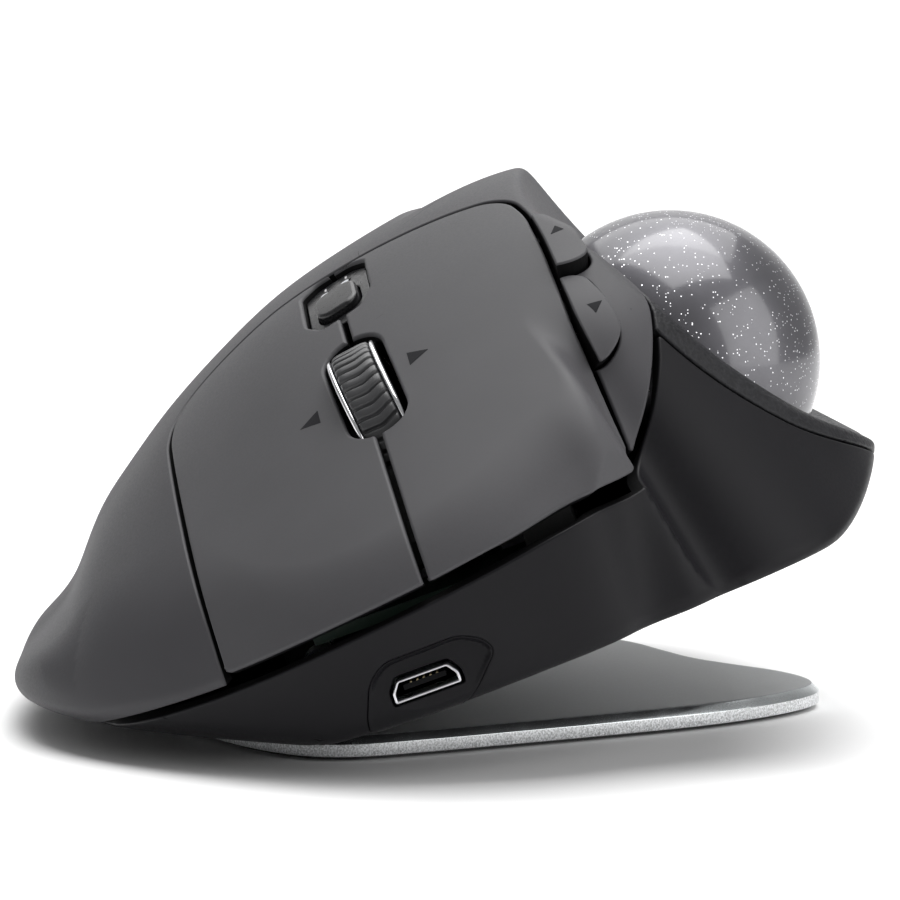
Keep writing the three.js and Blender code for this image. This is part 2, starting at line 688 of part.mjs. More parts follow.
// magnet pockets from the inside, one over each flat of the underside
const magnetRadius = 4;
const magnetFrames = [
  frameAt([24, 24, 0], [0, 0, 1], [1, 0, 0]),
  frameAt([-13, 26, 13 * Math.tan(tilt)], [Math.sin(tilt), 0, Math.cos(tilt)], [1, 0, 0]),
];
for (const frame of magnetFrames) cuts = cuts.add(placed(post(0, 0, 1.25, 4, magnetRadius + 0.15), frame));

const hollowBody = shell.add(bosses.intersect(outer));
const lowerBody = hollowBody.intersect(below);
add(housing, 'lower_shell', lowerBody.subtract(lowerLine).subtract(cuts).subtract(ballOpening), 'darkGrey');
const precisionPocket = pocket(precisionPlan, precisionFrame);
add(housing, 'thumb_cover', lowerBody.intersect(coverLine).subtract(ballOpening)
  .subtract(precisionPocket).subtract(cuts), 'thumbGrey');

const upper = shell.intersect(above);
const panelHole = prism(grown(panelPlan, 0.2), 25, 95);
add(housing, 'top_shell', upper.subtract(prism(grown(buttonPlan, buttonGap / 2), -5, 95))
  .subtract(sidePockets).subtract(ballOpening).subtract(panelHole), 'shellGrey');

// ---- main buttons, each with a stem over its switch ----
const raised = aboveSeam(buttonLift);
const switchPlaces = { left: [31, -30], right: [8, -30] };
for (const [side, sign] of [['left', 1], ['right', -1]]) {
  const [x, y] = switchPlaces[side];
  const stem = box(x - 1.5, x + 1.5, y - 1.5, y + 1.5, 19.8, 60).intersect(outer);
  const region = prism(grown(buttonPlan, -buttonGap / 2), -5, 95).intersect(splitSide(sign));
  const cover = shell.intersect(raised).add(stem).intersect(region);
  add(housing, `${side}_button`, cover.subtract(slot).subtract(wheelSpace).subtract(panelHole), 'buttonGrey');
}

// ---- dark frame under the buttons, standing on legs in the lower shell ----
const frameOuter = levelSolid(frameOuterLevel, 24, 18);
const frameInner = levelSolid(frameInnerLevel, 22, 16);
const framePlan = prism(grown(buttonPlan, 1.6), -5, 95);
let legs = post(...legPlaces[0], 6.4, 70, 1.8, 14);
for (const [x, y] of legPlaces.slice(1)) legs = legs.add(post(x, y, 6.4, 70, 1.8, 14));
let frameCuts = frameSlot;
for (const [x, y] of Object.values(switchPlaces)) {
  frameCuts = frameCuts.add(box(x - 3.4, x + 3.4, y - 6.9, y + 6.9, 0, 60));
}
for (const frame of [forwardFrame, backFrame]) {
  frameCuts = frameCuts.add(placed(box(-4, 4, -4, 4, -9, 4), frame));
}
frameCuts = frameCuts.add(box(13, 19.4, -1.6, 4.2, 30, 60));
const frameSheet = frameOuter.subtract(frameInner).intersect(framePlan).intersect(aboveSeam(3));
add(housing, 'button_frame', frameSheet.add(legs.intersect(frameOuter)).subtract(frameCuts)
  .subtract(ballAt(ballCentre, cupOuterRadius + 0.4)), 'black');

// ---- side buttons ----
function sideButton(name, plan, frame, raise, travelClear, colour) {
  const cutter = placed(prism(plan, -6, 6), frame);
  const out = new THREE.Vector3().setFromMatrixColumn(frame, 2).toArray();
  const slab = surfaceSlab(cutter, out, raise, travelClear).subtract(ballOpening);
  add(housing, name, slab.subtract(prism(grown(buttonPlan, buttonGap / 2), -5, 95)), colour);
}

sideButton('forward_button', forwardPlan, forwardFrame, sideButtonRaise, sideButtonDepth, 'buttonGrey');
sideButton('back_button', backPlan, backFrame, sideButtonRaise, sideButtonDepth, 'buttonGrey');
sideButton('precision_button', precisionPlan, precisionFrame, 0.5, 1.9, 'buttonGrey');

// ---- pairing island ----
const up = [0, 0, 1];
let panelHoles = prism(grown(pairingPlan, 0.2), 20, 95);
for (const [x, y] of lightPlaces) panelHoles = panelHoles.add(post(x, y, 20, 95, 0.55, 12));
add(housing, 'pairing_panel', surfaceSlab(prism(panelPlan, 20, 95), up, -0.9, 2.7).subtract(panelHoles), 'black');
add(housing, 'pairing_button', surfaceSlab(prism(pairingPlan, 20, 95), up, 0.1, 2.5), 'buttonGrey');
lightPlaces.forEach(([x, y], i) => {
  add(housing, `pairing_light_${i + 1}`, surfaceSlab(post(x, y, 20, 95, 0.5, 12), up, -0.85, 2.6), 'clear');
});

// ---- ball, cup, bearings and optical sensor ----
const cupFrame = frameAt(ballCentre, [1, 0, 1], [1, 0, -1]);
const cupDown = unit([-1, 0, -1]);
add(housing, 'trackball', ballAt(ballCentre, ballRadius, 32, 20), 'ball');

function cupProfile() {
  const points = [];
  const outerEnd = Math.acos(cupRimDepth / cupOuterRadius);
  const innerEnd = Math.acos(cupRimDepth / cupInnerRadius);
  for (let i = 0; i <= 6; i++) {
    const angle = outerEnd * i / 6;
    points.push([i === 0 ? 0 : cupOuterRadius * Math.sin(angle), -cupOuterRadius * Math.cos(angle)]);
  }
  for (let i = 6; i >= 0; i--) {
    const angle = innerEnd * i / 6;
    points.push([i === 0 ? 0 : cupInnerRadius * Math.sin(angle), -cupInnerRadius * Math.cos(angle)]);
  }
  return points;
}

const bearingCentres = [0, 1, 2].map((i) => {
  const polar = 52 * Math.PI / 180;
  const turn = (90 + 120 * i) * Math.PI / 180;
  const reach = ballRadius + bearingRadius + 0.03;
  const local = new THREE.Vector3(
    Math.sin(polar) * Math.cos(turn), Math.sin(polar) * Math.sin(turn), -Math.cos(polar),
  ).multiplyScalar(reach);
  return local.applyMatrix4(cupFrame).toArray();
});
let cup = placed(lathe(cupProfile(), 22), cupFrame);
for (const centre of bearingCentres) cup = cup.subtract(ballAt(centre, bearingRadius + 0.1, 10, 8));
cup = cup.subtract(placed(post(0, 0, -24, -15, 2.3), cupFrame)).subtract(pushOutHole);
add(housing, 'ball_cup', cup, 'black');
bearingCentres.forEach((centre, i) => {
  add(housing, `bearing_${i + 1}`, ballAt(centre, bearingRadius, 12, 8), 'ceramic');
});
add(housing, 'sensor_lens', placed(post(0, 0, -20, -18.4, 2.1), cupFrame), 'clear');
add(housing, 'optical_sensor', placed(box(-4, 4, -5, 5, -23.4, -20.2), cupFrame), 'switchBlack');

// ---- scroll wheel, its tilting fork and its click cradle ----
function alongX(manifold) {
  return placed(manifold.rotate([0, 90, 0]), wheelFrame);
}

const tyreHalf = 2.1;
const rimOuter = 2.95;
add(housing, 'wheel_tyre', alongX(lathe([
  [8.7, -tyreHalf], [wheelRadius - 0.4, -tyreHalf], [wheelRadius, -1.5], [wheelRadius, 1.5],
  [wheelRadius - 0.4, tyreHalf], [8.7, tyreHalf], [8.7, -tyreHalf],
], 30)), 'rubber');
add(housing, 'wheel_hub', alongX(lathe([
  [0, -4.8], [1, -4.8], [1, -3.1], [2.6, -3.1], [2.6, -2], [8.5, -2], [8.5, 2], [2.6, 2],
  [2.6, 3.1], [1, 3.1], [1, 4.8], [0, 4.8],
], 24)), 'black');
for (const [name, sign] of [['wheel_rim_left', 1], ['wheel_rim_right', -1]]) {
  const ring = lathe([
    [8.7, 2.2], [wheelRadius - 0.2, 2.2], [wheelRadius - 0.2, 2.6], [wheelRadius - 0.6, rimOuter],
    [8.7, rimOuter], [8.7, 2.2],
  ], 30);
  add(housing, name, alongX(sign > 0 ? ring : ring.mirror([0, 0, 1])), 'chrome');
}
const pivotDrop = -14.4;
const cheek = box(3.5, 4.7, -3, 3, pivotDrop, 2.2);
const forkBar = box(-4.7, 4.7, -3, 3, -14.6, -12.4);
const forkPin = alongY(1.2, -5, 5, 20).translate([0, 0, pivotDrop]);
const axleBore = post(0, 0, -9, 9, 1.06).rotate([0, 90, 0]);
add(housing, 'wheel_fork', placed(
  cheek.add(cheek.mirror([1, 0, 0])).add(forkBar).add(forkPin).subtract(axleBore), wheelFrame,
), 'black');
const cradleBase = box(-4.4, 4.4, -5.2, 5.2, -18.2, -16.2);
const cradleEnd = box(-2.6, 2.6, 3.4, 5.2, -16.4, -12.6);
add(housing, 'wheel_cradle', placed(
  cradleBase.add(cradleEnd).add(cradleEnd.mirror([0, 1, 0]))
    .subtract(alongY(1.26, -9, 9, 20).translate([0, 0, pivotDrop])), wheelFrame,
), 'shellGrey');
add(housing, 'wheel_encoder', placed(box(5, 7.4, -3, 3, -5, 3), wheelFrame), 'switchBlack');
add(housing, 'wheel_click_switch', placed(box(-3, 3, -3, 3, -22, -18.8), wheelFrame), 'switchBlack');

// ---- boards, battery, socket and switches ----
add(housing, 'main_board', box(9, 27.5, -38.4, 28, 3.8, 4.9), 'board');
const legHole = post(...legPlaces[2], 0, 20, 2.3);
add(housing, 'button_board', box(3, 35, -38, -22.5, 10.6, 11.8).subtract(legHole), 'board');
add(housing, 'battery', box(8, 29, 30, 57, 3.4, 9.2), 'foil');
add(housing, 'usb_shell', facingFront(portShape(0), -46, -40.2)
  .subtract(facingFront(portShape(-0.3), -50, -42.2)), 'steel');
add(housing, 'usb_tongue', box(usbCentre[0] - 2.4, usbCentre[0] + 2.4, -45.2, -42.25, 3.75, 4.3), 'black');
for (const side of ['left', 'right']) {
  const [x, y] = switchPlaces[side];
  const body = box(x - 2.9, x + 2.9, y - 6.4, y + 6.4, 11.85, 18.2);
  add(housing, `switch_${side}`, body.add(box(x - 1, x + 1, y - 0.8, y + 0.8, 18, 18.7)), 'switchBlack');
}
add(housing, 'switch_forward', box(33.3, 36.3, -11, -7, 32.9, 34.4), 'switchBlack');
add(housing, 'switch_back', box(36, 39, -23, -19, 26.8, 28.4), 'switchBlack');
add(housing, 'switch_precision', placed(box(-2.5, 2.5, -2.5, 2.5, -6, -2.9), precisionFrame), 'switchBlack');
add(housing, 'switch_pairing', box(14.2, 18.2, -0.6, 3.2, 35.4, 37.6), 'switchBlack');

add(housing, 'power_slider', box(sliderX - 3.9, sliderX + 0.3, sliderY - 1.9, sliderY + 1.9, 0.4, 2.5)
  .add(box(sliderX - 4.6, sliderX + 1.6, sliderY - 3, sliderY + 3, 2.5, 3.3)), 'black');
add(housing, 'power_switch', box(sliderX - 4.5, sliderX + 4.5, sliderY - 2.5, sliderY + 2.5, 3.6, 6.4), 'switchBlack');
magnetFrames.forEach((frame, i) => {
  add(housing, `magnet_${i + 1}`, placed(post(0, 0, 1.3, 3.2, magnetRadius), frame), 'steel');
});
screwPlaces.forEach(([x, y], i) => {
  const slots = box(-1.2, 1.2, -0.25, 0.25, -1, 0.6).add(box(-0.25, 0.25, -1.2, 1.2, -1, 0.6));
  const screw = post(0, 0, 0, 1.3, screwHeadRadius).add(post(0, 0, 1, 8.8, screwShaftRadius, 12));
  add(housing, `screw_${i + 1}`, screw.subtract(slots).translate([x, y, 0.4]), 'steel');
});

export default group;
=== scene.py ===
# Trackball mouse: the finished look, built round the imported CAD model.
# Body shapes are worked out in the body's own level frame, in millimetres,
# then turned by the tilt and moved into the CAD frame, in metres.
import math

import bpy
import numpy as np
from mathutils import Euler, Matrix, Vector


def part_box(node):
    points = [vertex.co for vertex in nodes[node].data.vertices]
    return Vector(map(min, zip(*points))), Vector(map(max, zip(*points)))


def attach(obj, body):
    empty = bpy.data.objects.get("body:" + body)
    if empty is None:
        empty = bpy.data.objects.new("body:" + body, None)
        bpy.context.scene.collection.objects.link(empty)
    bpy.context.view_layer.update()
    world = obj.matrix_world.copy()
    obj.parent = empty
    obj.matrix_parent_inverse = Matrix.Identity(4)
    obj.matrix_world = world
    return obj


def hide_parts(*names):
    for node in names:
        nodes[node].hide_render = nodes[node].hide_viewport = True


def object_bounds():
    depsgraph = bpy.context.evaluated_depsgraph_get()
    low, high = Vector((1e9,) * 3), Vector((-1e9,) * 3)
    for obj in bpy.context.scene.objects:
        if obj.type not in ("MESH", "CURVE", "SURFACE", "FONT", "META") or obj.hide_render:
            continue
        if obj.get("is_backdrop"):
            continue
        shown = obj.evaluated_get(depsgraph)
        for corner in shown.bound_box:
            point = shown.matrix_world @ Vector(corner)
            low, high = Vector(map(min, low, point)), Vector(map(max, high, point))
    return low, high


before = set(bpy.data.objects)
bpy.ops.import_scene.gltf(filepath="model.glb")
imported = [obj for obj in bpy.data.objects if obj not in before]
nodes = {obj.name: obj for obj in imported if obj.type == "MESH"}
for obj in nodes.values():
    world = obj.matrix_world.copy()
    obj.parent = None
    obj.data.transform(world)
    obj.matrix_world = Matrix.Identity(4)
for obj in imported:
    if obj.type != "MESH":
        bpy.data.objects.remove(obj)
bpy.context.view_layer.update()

# ---- sizes, in millimetres in the body's frame ----
TILT = math.radians(20)
BALL = np.array([49.5, 0.0, 23.0])
BALL_RADIUS = 17.0
BALL_OPENING = 17.35
SEAM = 0.3
BUTTON_GAP = 0.5
SPLIT_GAP = 0.7
BUTTON_LIFT = 1.4
FRONT_GAP, FRONT_GAP_START = 0.7, -18.0
COVER_DEPTH = 2.3
RAY_START = np.array([20.0, 8.0, 13.0])
MIDDLE = np.array([16.0, 10.0])
WHEEL_CENTRE = np.array([17.9, -15.7, 26.4])
WHEEL_RADIUS = 11.5
WHEEL_SLOPE = math.radians(27)
WHEEL_LEAN = math.radians(8)
USB_CENTRE = (13.2, 3.8)
USB_FLOOR = -45.1
REACH = 110.0  # longer than any ray inside the body
FAR = 9.0  # stands for a distance that is too large to matter
NOWHERE = -50.0  # a distance far outside a limit
UNDERSIDE_COSINE = 0.94
HOLLOW_BEND = 13.0  # the hollow is straight at this distance along it, and bends on both sides
INNER_BEND, OUTER_BEND = 0.0102, 0.03
FRONT_EDGE, REAR_EDGE_GROWTH, SIDE_EDGE, LOWER_EDGE, HOLLOW_EDGE = 2.2, 10.0, 2.6, 2.0, 1.3  # radii


# ---- small mathematics ----
def unit(v):
    v = np.asarray(v, float)
    return v / np.linalg.norm(v, axis=-1, keepdims=True)


def smooth_step(t):
    t = np.clip(t, 0, 1)
    return t * t * (3 - 2 * t)


def soft_max(a, b, width):
    t = np.clip(0.5 + 0.5 * (a - b) / width, 0, 1)
    return b + (a - b) * t + width * t * (1 - t)


class Curve:
    """Smooth curve through points, straight beyond its ends."""

    def __init__(self, points):
        self.x, self.y = np.array(points, float).T
        x, y, n = self.x, self.y, len(self.x)
        h = np.diff(x)
        matrix, right = np.eye(n), np.zeros(n)
        for i in range(1, n - 1):
            matrix[i, i - 1:i + 2] = h[i - 1], 2 * (h[i - 1] + h[i]), h[i]
            right[i] = 6 * ((y[i + 1] - y[i]) / h[i] - (y[i] - y[i - 1]) / h[i - 1])
        self.bend = np.linalg.solve(matrix, right)
        self.first = (y[1] - y[0]) / h[0] - self.bend[1] * h[0] / 6
        self.last = (y[-1] - y[-2]) / h[-1] + self.bend[-2] * h[-1] / 6

    def __call__(self, t):
        x, y, bend = self.x, self.y, self.bend
        i = np.clip(np.searchsorted(x, t) - 1, 0, len(x) - 2)
        h = x[i + 1] - x[i]
        inside = np.clip(t, x[0], x[-1])
        a, b = (x[i + 1] - inside) / h, (inside - x[i]) / h
        cubic = ((a ** 3 - a) * bend[i] + (b ** 3 - b) * bend[i + 1]) * h * h / 6
        ends = np.minimum(t - x[0], 0) * self.first + np.maximum(t - x[-1], 0) * self.last
        return a * y[i] + b * y[i + 1] + cubic + ends


def angle_round(x, y):
    return np.arctan2(y - MIDDLE[1], x - MIDDLE[0])


def ring_curve(table, values):
    """Smooth closed curve of a value against the angle of a table's x and y round the body."""
    angles = angle_round(table[:, 0], table[:, 1])
    order = np.argsort(angles)
    points = np.stack([angles[order], values[order]], 1)
    turn = np.array([2 * math.pi, 0])
    return Curve(np.concatenate([points[-4:] - turn, points, points[:4] + turn]))


# ---- the body's outer surface ----
back_line = Curve([
    (-60, 10), (-50, 16.4), (-40, 22.6), (-30, 28.4), (-20, 33.8), (-8, 39.4), (5, 43.6),
    (18, 45.4), (30, 45.4), (45, 42.4), (60, 35.5), (74, 25), (84, 13.5), (92, 2)])
front_fall = Curve([
    (-40, -16.5), (-30, -12.5), (-18, -8.6), (-6, -5.6), (6, -2.4), (17, 0), (30, 1.2),
    (42, 1.2), (54, 0.5)])
crown_fall = Curve([
    (-42, -32.5), (-36, -30.4), (-31.7, -28.8), (-28.8, -27.4), (-26, -25.8), (-23.9, -24),
    (-22, -21.8), (-19.2, -18.7), (-14.8, -15.2), (-9.3, -11.4), (0, -6.2), (8, -2.6),
    (17, 0), (30, 2.3), (42, 2.2), (50, -0.5), (60, -7)])
# widest line round the body: x, y, its height, then the wall's lean below and above it
OUTLINE = np.array([
    [16.5, -49, 13.6, 0.3, -0.5], [4, -46.6, 12.1, 0.3, -0.5], [-6.3, -41, 10.9, 0.34, -0.6],
    [-18, -32.5, 10.5, 0.45, -0.6], [-28, -20, 11.5, 0.55, -0.3], [-33, -4, 13, 0.6, -0.2],
    [-33.9, 12, 13.5, 0.6, -0.2], [-31.6, 30, 13, 0.6, 0], [-25.5, 50, 12, 0.5, 0],
    [-13, 68, 10, 0.35, 0], [2, 79.5, 8, 0.2, 0], [18, 83.5, 8, 0.1, -0.1], [34, 80.5, 8, 0.1, -0.45],
    [46, 72, 8, 0.1, -0.7], [54.5, 58, 7, 0.1, -0.7], [60, 42, 6, 0.05, -0.5], [65, 24, 6, 0, 0],
    [68.4, 6, 6, 0, 0], [67.8, -6, 4, -0.1, -0.1], [64, -18, 2, -0.2, -0.32],
    [57.5, -28.5, 1, -0.2, -0.4], [50, -32.8, 1, -0.1, -0.36], [44.5, -35.5, 4, 0, -0.38],
    [42, -38, 16.7, 0.1, -0.48], [37, -43.4, 16.1, 0.26, -0.5], [28, -47.2, 15, 0.3, -0.5]])
widest_radius = ring_curve(OUTLINE, np.hypot(*(OUTLINE[:, :2] - MIDDLE).T))
widest_height = ring_curve(OUTLINE, OUTLINE[:, 2])
lean_below = ring_curve(OUTLINE, OUTLINE[:, 3])
lean_above = ring_curve(OUTLINE, OUTLINE[:, 4])
hollow_line = Curve([
    (-60, 3.2), (-30, 3.2), (-18, 3), (-9, 0.4), (0, -2.6), (10, -3), (25, -1.4), (40, 1.5),
    (55, 6.5), (75, 16)])
# seam between the upper and lower shells
SEAM_LINE = np.array([
    [16.5, -49, 12.8], [4, -46.6, 11.3], [-6.3, -41, 10], [-18, -32.5, 9.2], [-27.5, -20, 9],
    [-32.6, -4, 9.5], [-33.8, 12, 10], [-31, 30, 10], [-24.5, 50, 10], [-13, 68, 10],
    [2, 79.5, 10], [18, 83.5, 10.5], [34, 80.5, 12], [46, 72, 15], [54.5, 58, 22],
    [54, 42, 30], [46, 20, 35.5], [46.5, 0, 35.5], [47.5, -14, 33.5], [49.1, -21.3, 28.8],
    [47, -25.4, 24.1], [43.8, -29.5, 18.8], [42, -34, 15.9], [37, -43.4, 15.3], [28, -47.2, 14.2]])
seam_height = ring_curve(SEAM_LINE, SEAM_LINE[:, 2])


def top_height(x, y):
    to_crown = smooth_step((y + 46) / 62)
    return back_line(y) + front_fall(x) * (1 - to_crown) + crown_fall(x) * to_crown


def bottom_height(x, y):
    level = soft_max(-math.tan(TILT) * x, 0, 1.2)
    return level + 0.06 * np.maximum(x - 58.5, 0) ** 2 + 0.012 * np.maximum(y - 62, 0) ** 2


def wall_distance(x, y, z):
    angle = angle_round(x, y)
    radius = np.hypot(x - MIDDLE[0], y - MIDDLE[1])
    above = z - widest_height(angle)
    rise = 0.5 * (above + np.sqrt(above * above + 0.5))
    low, high = lean_below(angle), lean_above(angle)
    edge = widest_radius(angle) + high * rise + low * (above - rise)
    turn = (widest_radius(angle + 0.001) - widest_radius(angle - 0.001)) / 0.002
    lean = np.where(above > 0, high, low)
    return (radius - edge) / np.sqrt(1 + (turn / np.maximum(radius, 25)) ** 2 + lean * lean)


def hollow_distance(x, y, z):
    slope = math.sqrt(0.5)
    along = ((x - BALL[0]) - (z - BALL[2])) * slope
    out = ((x - BALL[0]) + (z - BALL[2])) * slope
    inner, outer = np.maximum(HOLLOW_BEND - along, 0), np.maximum(along - HOLLOW_BEND, 0)
    surface = hollow_line(y) + INNER_BEND * inner * inner + OUTER_BEND * outer * outer
    return (out - surface) / np.sqrt(1 + (2 * INNER_BEND * inner) ** 2)


def top_distance(x, y, z):
    slope_x = (top_height(x + 0.05, y) - top_height(x - 0.05, y)) / 0.1
    slope_y = (top_height(x, y + 0.05) - top_height(x, y - 0.05)) / 0.1
    return (z - top_height(x, y)) / np.sqrt(1 + slope_x ** 2 + slope_y ** 2)


def body_distance(points):
    """Distance outside the body, negative inside it."""
    x, y, z = points.T
    rear = FRONT_EDGE + REAR_EDGE_GROWTH * smooth_step((y + 38) / 50)
    side = np.minimum(rear, SIDE_EDGE + 0.45 * np.maximum(x + 28, 0))
    d = soft_max(top_distance(x, y, z), wall_distance(x, y, z), np.where(x < 0, side, rear))
    under = (bottom_height(x, y) - z) * UNDERSIDE_COSINE
    d = soft_max(d, under, np.where(x < 0, SIDE_EDGE, LOWER_EDGE))
    return soft_max(d, hollow_distance(x, y, z), HOLLOW_EDGE)


def surface_normals(points, step=0.03):
    slopes = []
    for axis in np.eye(3) * step:
        slopes.append(body_distance(points + axis) - body_distance(points - axis))
    return unit(np.stack(slopes, 1))


def surface_points(directions, level=0.0):
    """Where rays from inside the body meet a level of its distance."""
    near, far = np.zeros(len(directions)), np.full(len(directions), REACH)
    for _ in range(9):
        half = (near + far) / 2
        inside = body_distance(RAY_START + directions * half[:, None]) < level
        near, far = np.where(inside, half, near), np.where(inside, far, half)
    low = body_distance(RAY_START + directions * near[:, None]) - level
    high = body_distance(RAY_START + directions * far[:, None]) - level
    for _ in range(4):
        guess = near + (far - near) * np.clip(low / (low - high), 0.02, 0.98)
        value = body_distance(RAY_START + directions * guess[:, None]) - level
        inside = value < 0
        near, low = np.where(inside, guess, near), np.where(inside, value, low * 0.5)
        far, high = np.where(inside, far, guess), np.where(inside, high * 0.5, value)
    return RAY_START + directions * guess[:, None]


def towards(angles, elevations):
    flat = np.cos(elevations)
    return np.stack([flat * np.cos(angles), flat * np.sin(angles), np.sin(elevations)], -1)


# ---- from the body's frame to the CAD frame ----
TURN = np.array([
    [math.cos(TILT), 0, -math.sin(TILT)], [0, 1, 0], [math.sin(TILT), 0, math.cos(TILT)]])
ball_low, ball_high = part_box("trackball")
SHIFT = np.array((ball_low + ball_high) / 2) - TURN @ BALL * 0.001


def to_cad(points):
    return np.asarray(points) @ TURN.T * 0.001 + SHIFT


# ---- one fine surface that all the outer panels are cut from ----
COLUMNS = 500
ROWS_UNDER, ROWS_WALL, ROWS_TOP = 34, 64, 190


def edge_elevations(angles, low, high, test):
    for _ in range(14):
        half = (low + high) / 2
        passed = test(*surface_points(towards(angles, half)).T)
        low, high = np.where(passed, low, half), np.where(passed, half, high)
    return (low + high) / 2


def fine_surface():
    """Points and faces of the whole body, with rows that follow the wall's two edges."""
    angles = 2 * math.pi * np.arange(COLUMNS) / COLUMNS
    wall_edge = edge_elevations(
        angles, np.full(COLUMNS, -1.3), np.full(COLUMNS, -0.05),
        lambda x, y, z: wall_distance(x, y, z) > (bottom_height(x, y) - z) * UNDERSIDE_COSINE)
    top_edge = edge_elevations(
        angles, wall_edge + 0.02, np.full(COLUMNS, 1.2),
        lambda x, y, z: np.maximum(top_distance(x, y, z), hollow_distance(x, y, z))
        > wall_distance(x, y, z))
    rows = []
    for j in range(1, ROWS_UNDER):
        rows.append(wall_edge - (wall_edge + math.pi / 2) * (1 - j / ROWS_UNDER) ** 1.5)
    for j in range(ROWS_WALL):
        rows.append(wall_edge + (top_edge - wall_edge) * j / ROWS_WALL)
    for j in range(ROWS_TOP):
        rows.append(top_edge + (math.pi / 2 - top_edge) * (j / ROWS_TOP) ** 1.15)
    grid = [towards(angles, row) for row in rows]
    directions = np.concatenate([[[0, 0, -1]], *grid, [[0, 0, 1]]])
    points = surface_points(directions)
    i = np.arange(COLUMNS)
    after = (i + 1) % COLUMNS
    faces = [np.stack([np.zeros_like(i), 1 + after, 1 + i], 1)]
    for j in range(len(rows) - 1):
        a, b = 1 + j * COLUMNS, 1 + (j + 1) * COLUMNS
        faces.append(np.stack([a + i, a + after, b + i], 1))
        faces.append(np.stack([a + after, b + after, b + i], 1))
    last = 1 + (len(rows) - 1) * COLUMNS
    faces.append(np.stack([last + i, last + after, np.full_like(i, len(points) - 1)], 1))
    return points, np.concatenate(faces)


SURFACE, SURFACE_FACES = fine_surface()


# ---- limits: how far inside an edge a point is ----
def rounded(plan, radius, steps=7):
    """The plan with each corner turned into a short curve."""
    plan = np.asarray(plan, float)
    made = []
    for i, corner in enumerate(plan):
        before, after = plan[i - 1] - corner, plan[(i + 1) % len(plan)] - corner
        reach = min(radius, 0.48 * np.linalg.norm(before), 0.48 * np.linalg.norm(after))
        start, end = corner + unit(before) * reach, corner + unit(after) * reach
        for t in np.linspace(0, 1, steps):
            made.append(start * (1 - t) ** 2 + 2 * corner * t * (1 - t) + end * t * t)
    return np.array(made)


def plan_distance(plan, flat, margin=5.0):
    """Distance of flat points inside a closed plan, negative outside; rougher far outside it."""
    low, high = plan.min(0), plan.max(0)
    beyond = np.hypot(*np.maximum(np.maximum(low - flat, flat - high), 0).T)
    result = -beyond
    close = beyond < margin
    x, y = flat[close].T
    nearest = np.full(len(x), 1e9)
    inside = np.zeros(len(x), bool)
    for (ax, ay), (bx, by) in zip(plan, np.roll(plan, -1, axis=0)):
        ex, ey = bx - ax, by - ay
        dx, dy = x - ax, y - ay
        share = np.minimum(np.maximum((dx * ex + dy * ey) / (ex * ex + ey * ey + 1e-12), 0), 1)
        gx, gy = dx - share * ex, dy - share * ey
        np.minimum(nearest, gx * gx + gy * gy, out=nearest)
        if ay != by:
            inside ^= ((ay > y) != (by > y)) & (dx < dy * (ex / ey))
    result[close] = np.sqrt(nearest) * np.where(inside, 1, -1)
    return result


def within(plan, place=None, axes=(0, 1)):
    """Inside a closed plan, which lies in the body's frame or in the frame of a place on it."""
    def limit(points):
        if place is not None:
            origin, basis = place
            points = (points - origin) @ basis
        return plan_distance(plan, points[:, axes])
    return limit


def outside(limit):
    return lambda points: -limit(points)


def only_where(limit, test, elsewhere=50.0):
    """A limit that counts only where a test is true, and has one value elsewhere."""
    return lambda points: np.where(test(points), limit(points), elsewhere)


def only_on(limit, test):
    """A limit that has no inside where a test is false."""
    return only_where(limit, test, NOWHERE)


def above_seam(points):
    return points[:, 2] - seam_height(angle_round(points[:, 0], points[:, 1]))


def out_of_ball(points):
    return np.linalg.norm(points - BALL, axis=1) - BALL_OPENING


def in_cover(points):
    return hollow_distance(*points.T) + COVER_DEPTH


def edge_field(points, normals, limits, step=0.02):
    """Distance inside the nearest edge along the surface, and the direction to that edge."""
    helper = np.where(np.abs(normals[:, 1:2]) < 0.8, [[0.0, 1.0, 0.0]], [[1.0, 0.0, 0.0]])
    across = unit(np.cross(normals, helper))
    along = np.cross(normals, across)
    nearest, direction = np.full(len(points), FAR), np.zeros_like(points)
    for limit, gap in limits:
        a = (limit(points + across * step) - limit(points - across * step)) / (2 * step)
        b = (limit(points + along * step) - limit(points - along * step)) / (2 * step)
        slope = np.maximum(np.hypot(a, b), 0.25)
        distance = limit(points) / slope - gap
        closer = distance < nearest
        nearest = np.where(closer, distance, nearest)
        outward = -(a[:, None] * across + b[:, None] * along) / slope[:, None]
        direction = np.where(closer[:, None], outward, direction)
    return nearest, direction


# ---- cutting and finishing a panel ----
def keep_used(faces):
    """The points that faces use, and the faces in terms of those points."""
    used, faces = np.unique(faces, return_inverse=True)
    return used, faces.reshape(-1, 3)


def sides_of(faces):
    return np.concatenate([faces[:, [0, 1]], faces[:, [1, 2]], faces[:, [2, 0]]])


def single_edges(edges):
    """Each edge once, and where each given edge is among them."""
    unique, place = np.unique(np.sort(edges, axis=1), axis=0, return_inverse=True)
    return unique, place.ravel()


def halved(points, faces):
    """Each face in four, with the new points moved on to the surface."""
    unique, place = single_edges(sides_of(faces))
    middle = points[unique].mean(1)
    for _ in range(2):
        middle = middle - surface_normals(middle) * body_distance(middle)[:, None]
    ab, bc, ca = (place + len(points)).reshape(3, -1)
    a, b, c = faces.T
    made = [[a, ab, ca], [ab, b, bc], [ca, bc, c], [ab, bc, ca]]
    return np.concatenate([points, middle]), np.concatenate([np.stack(f, 1) for f in made])


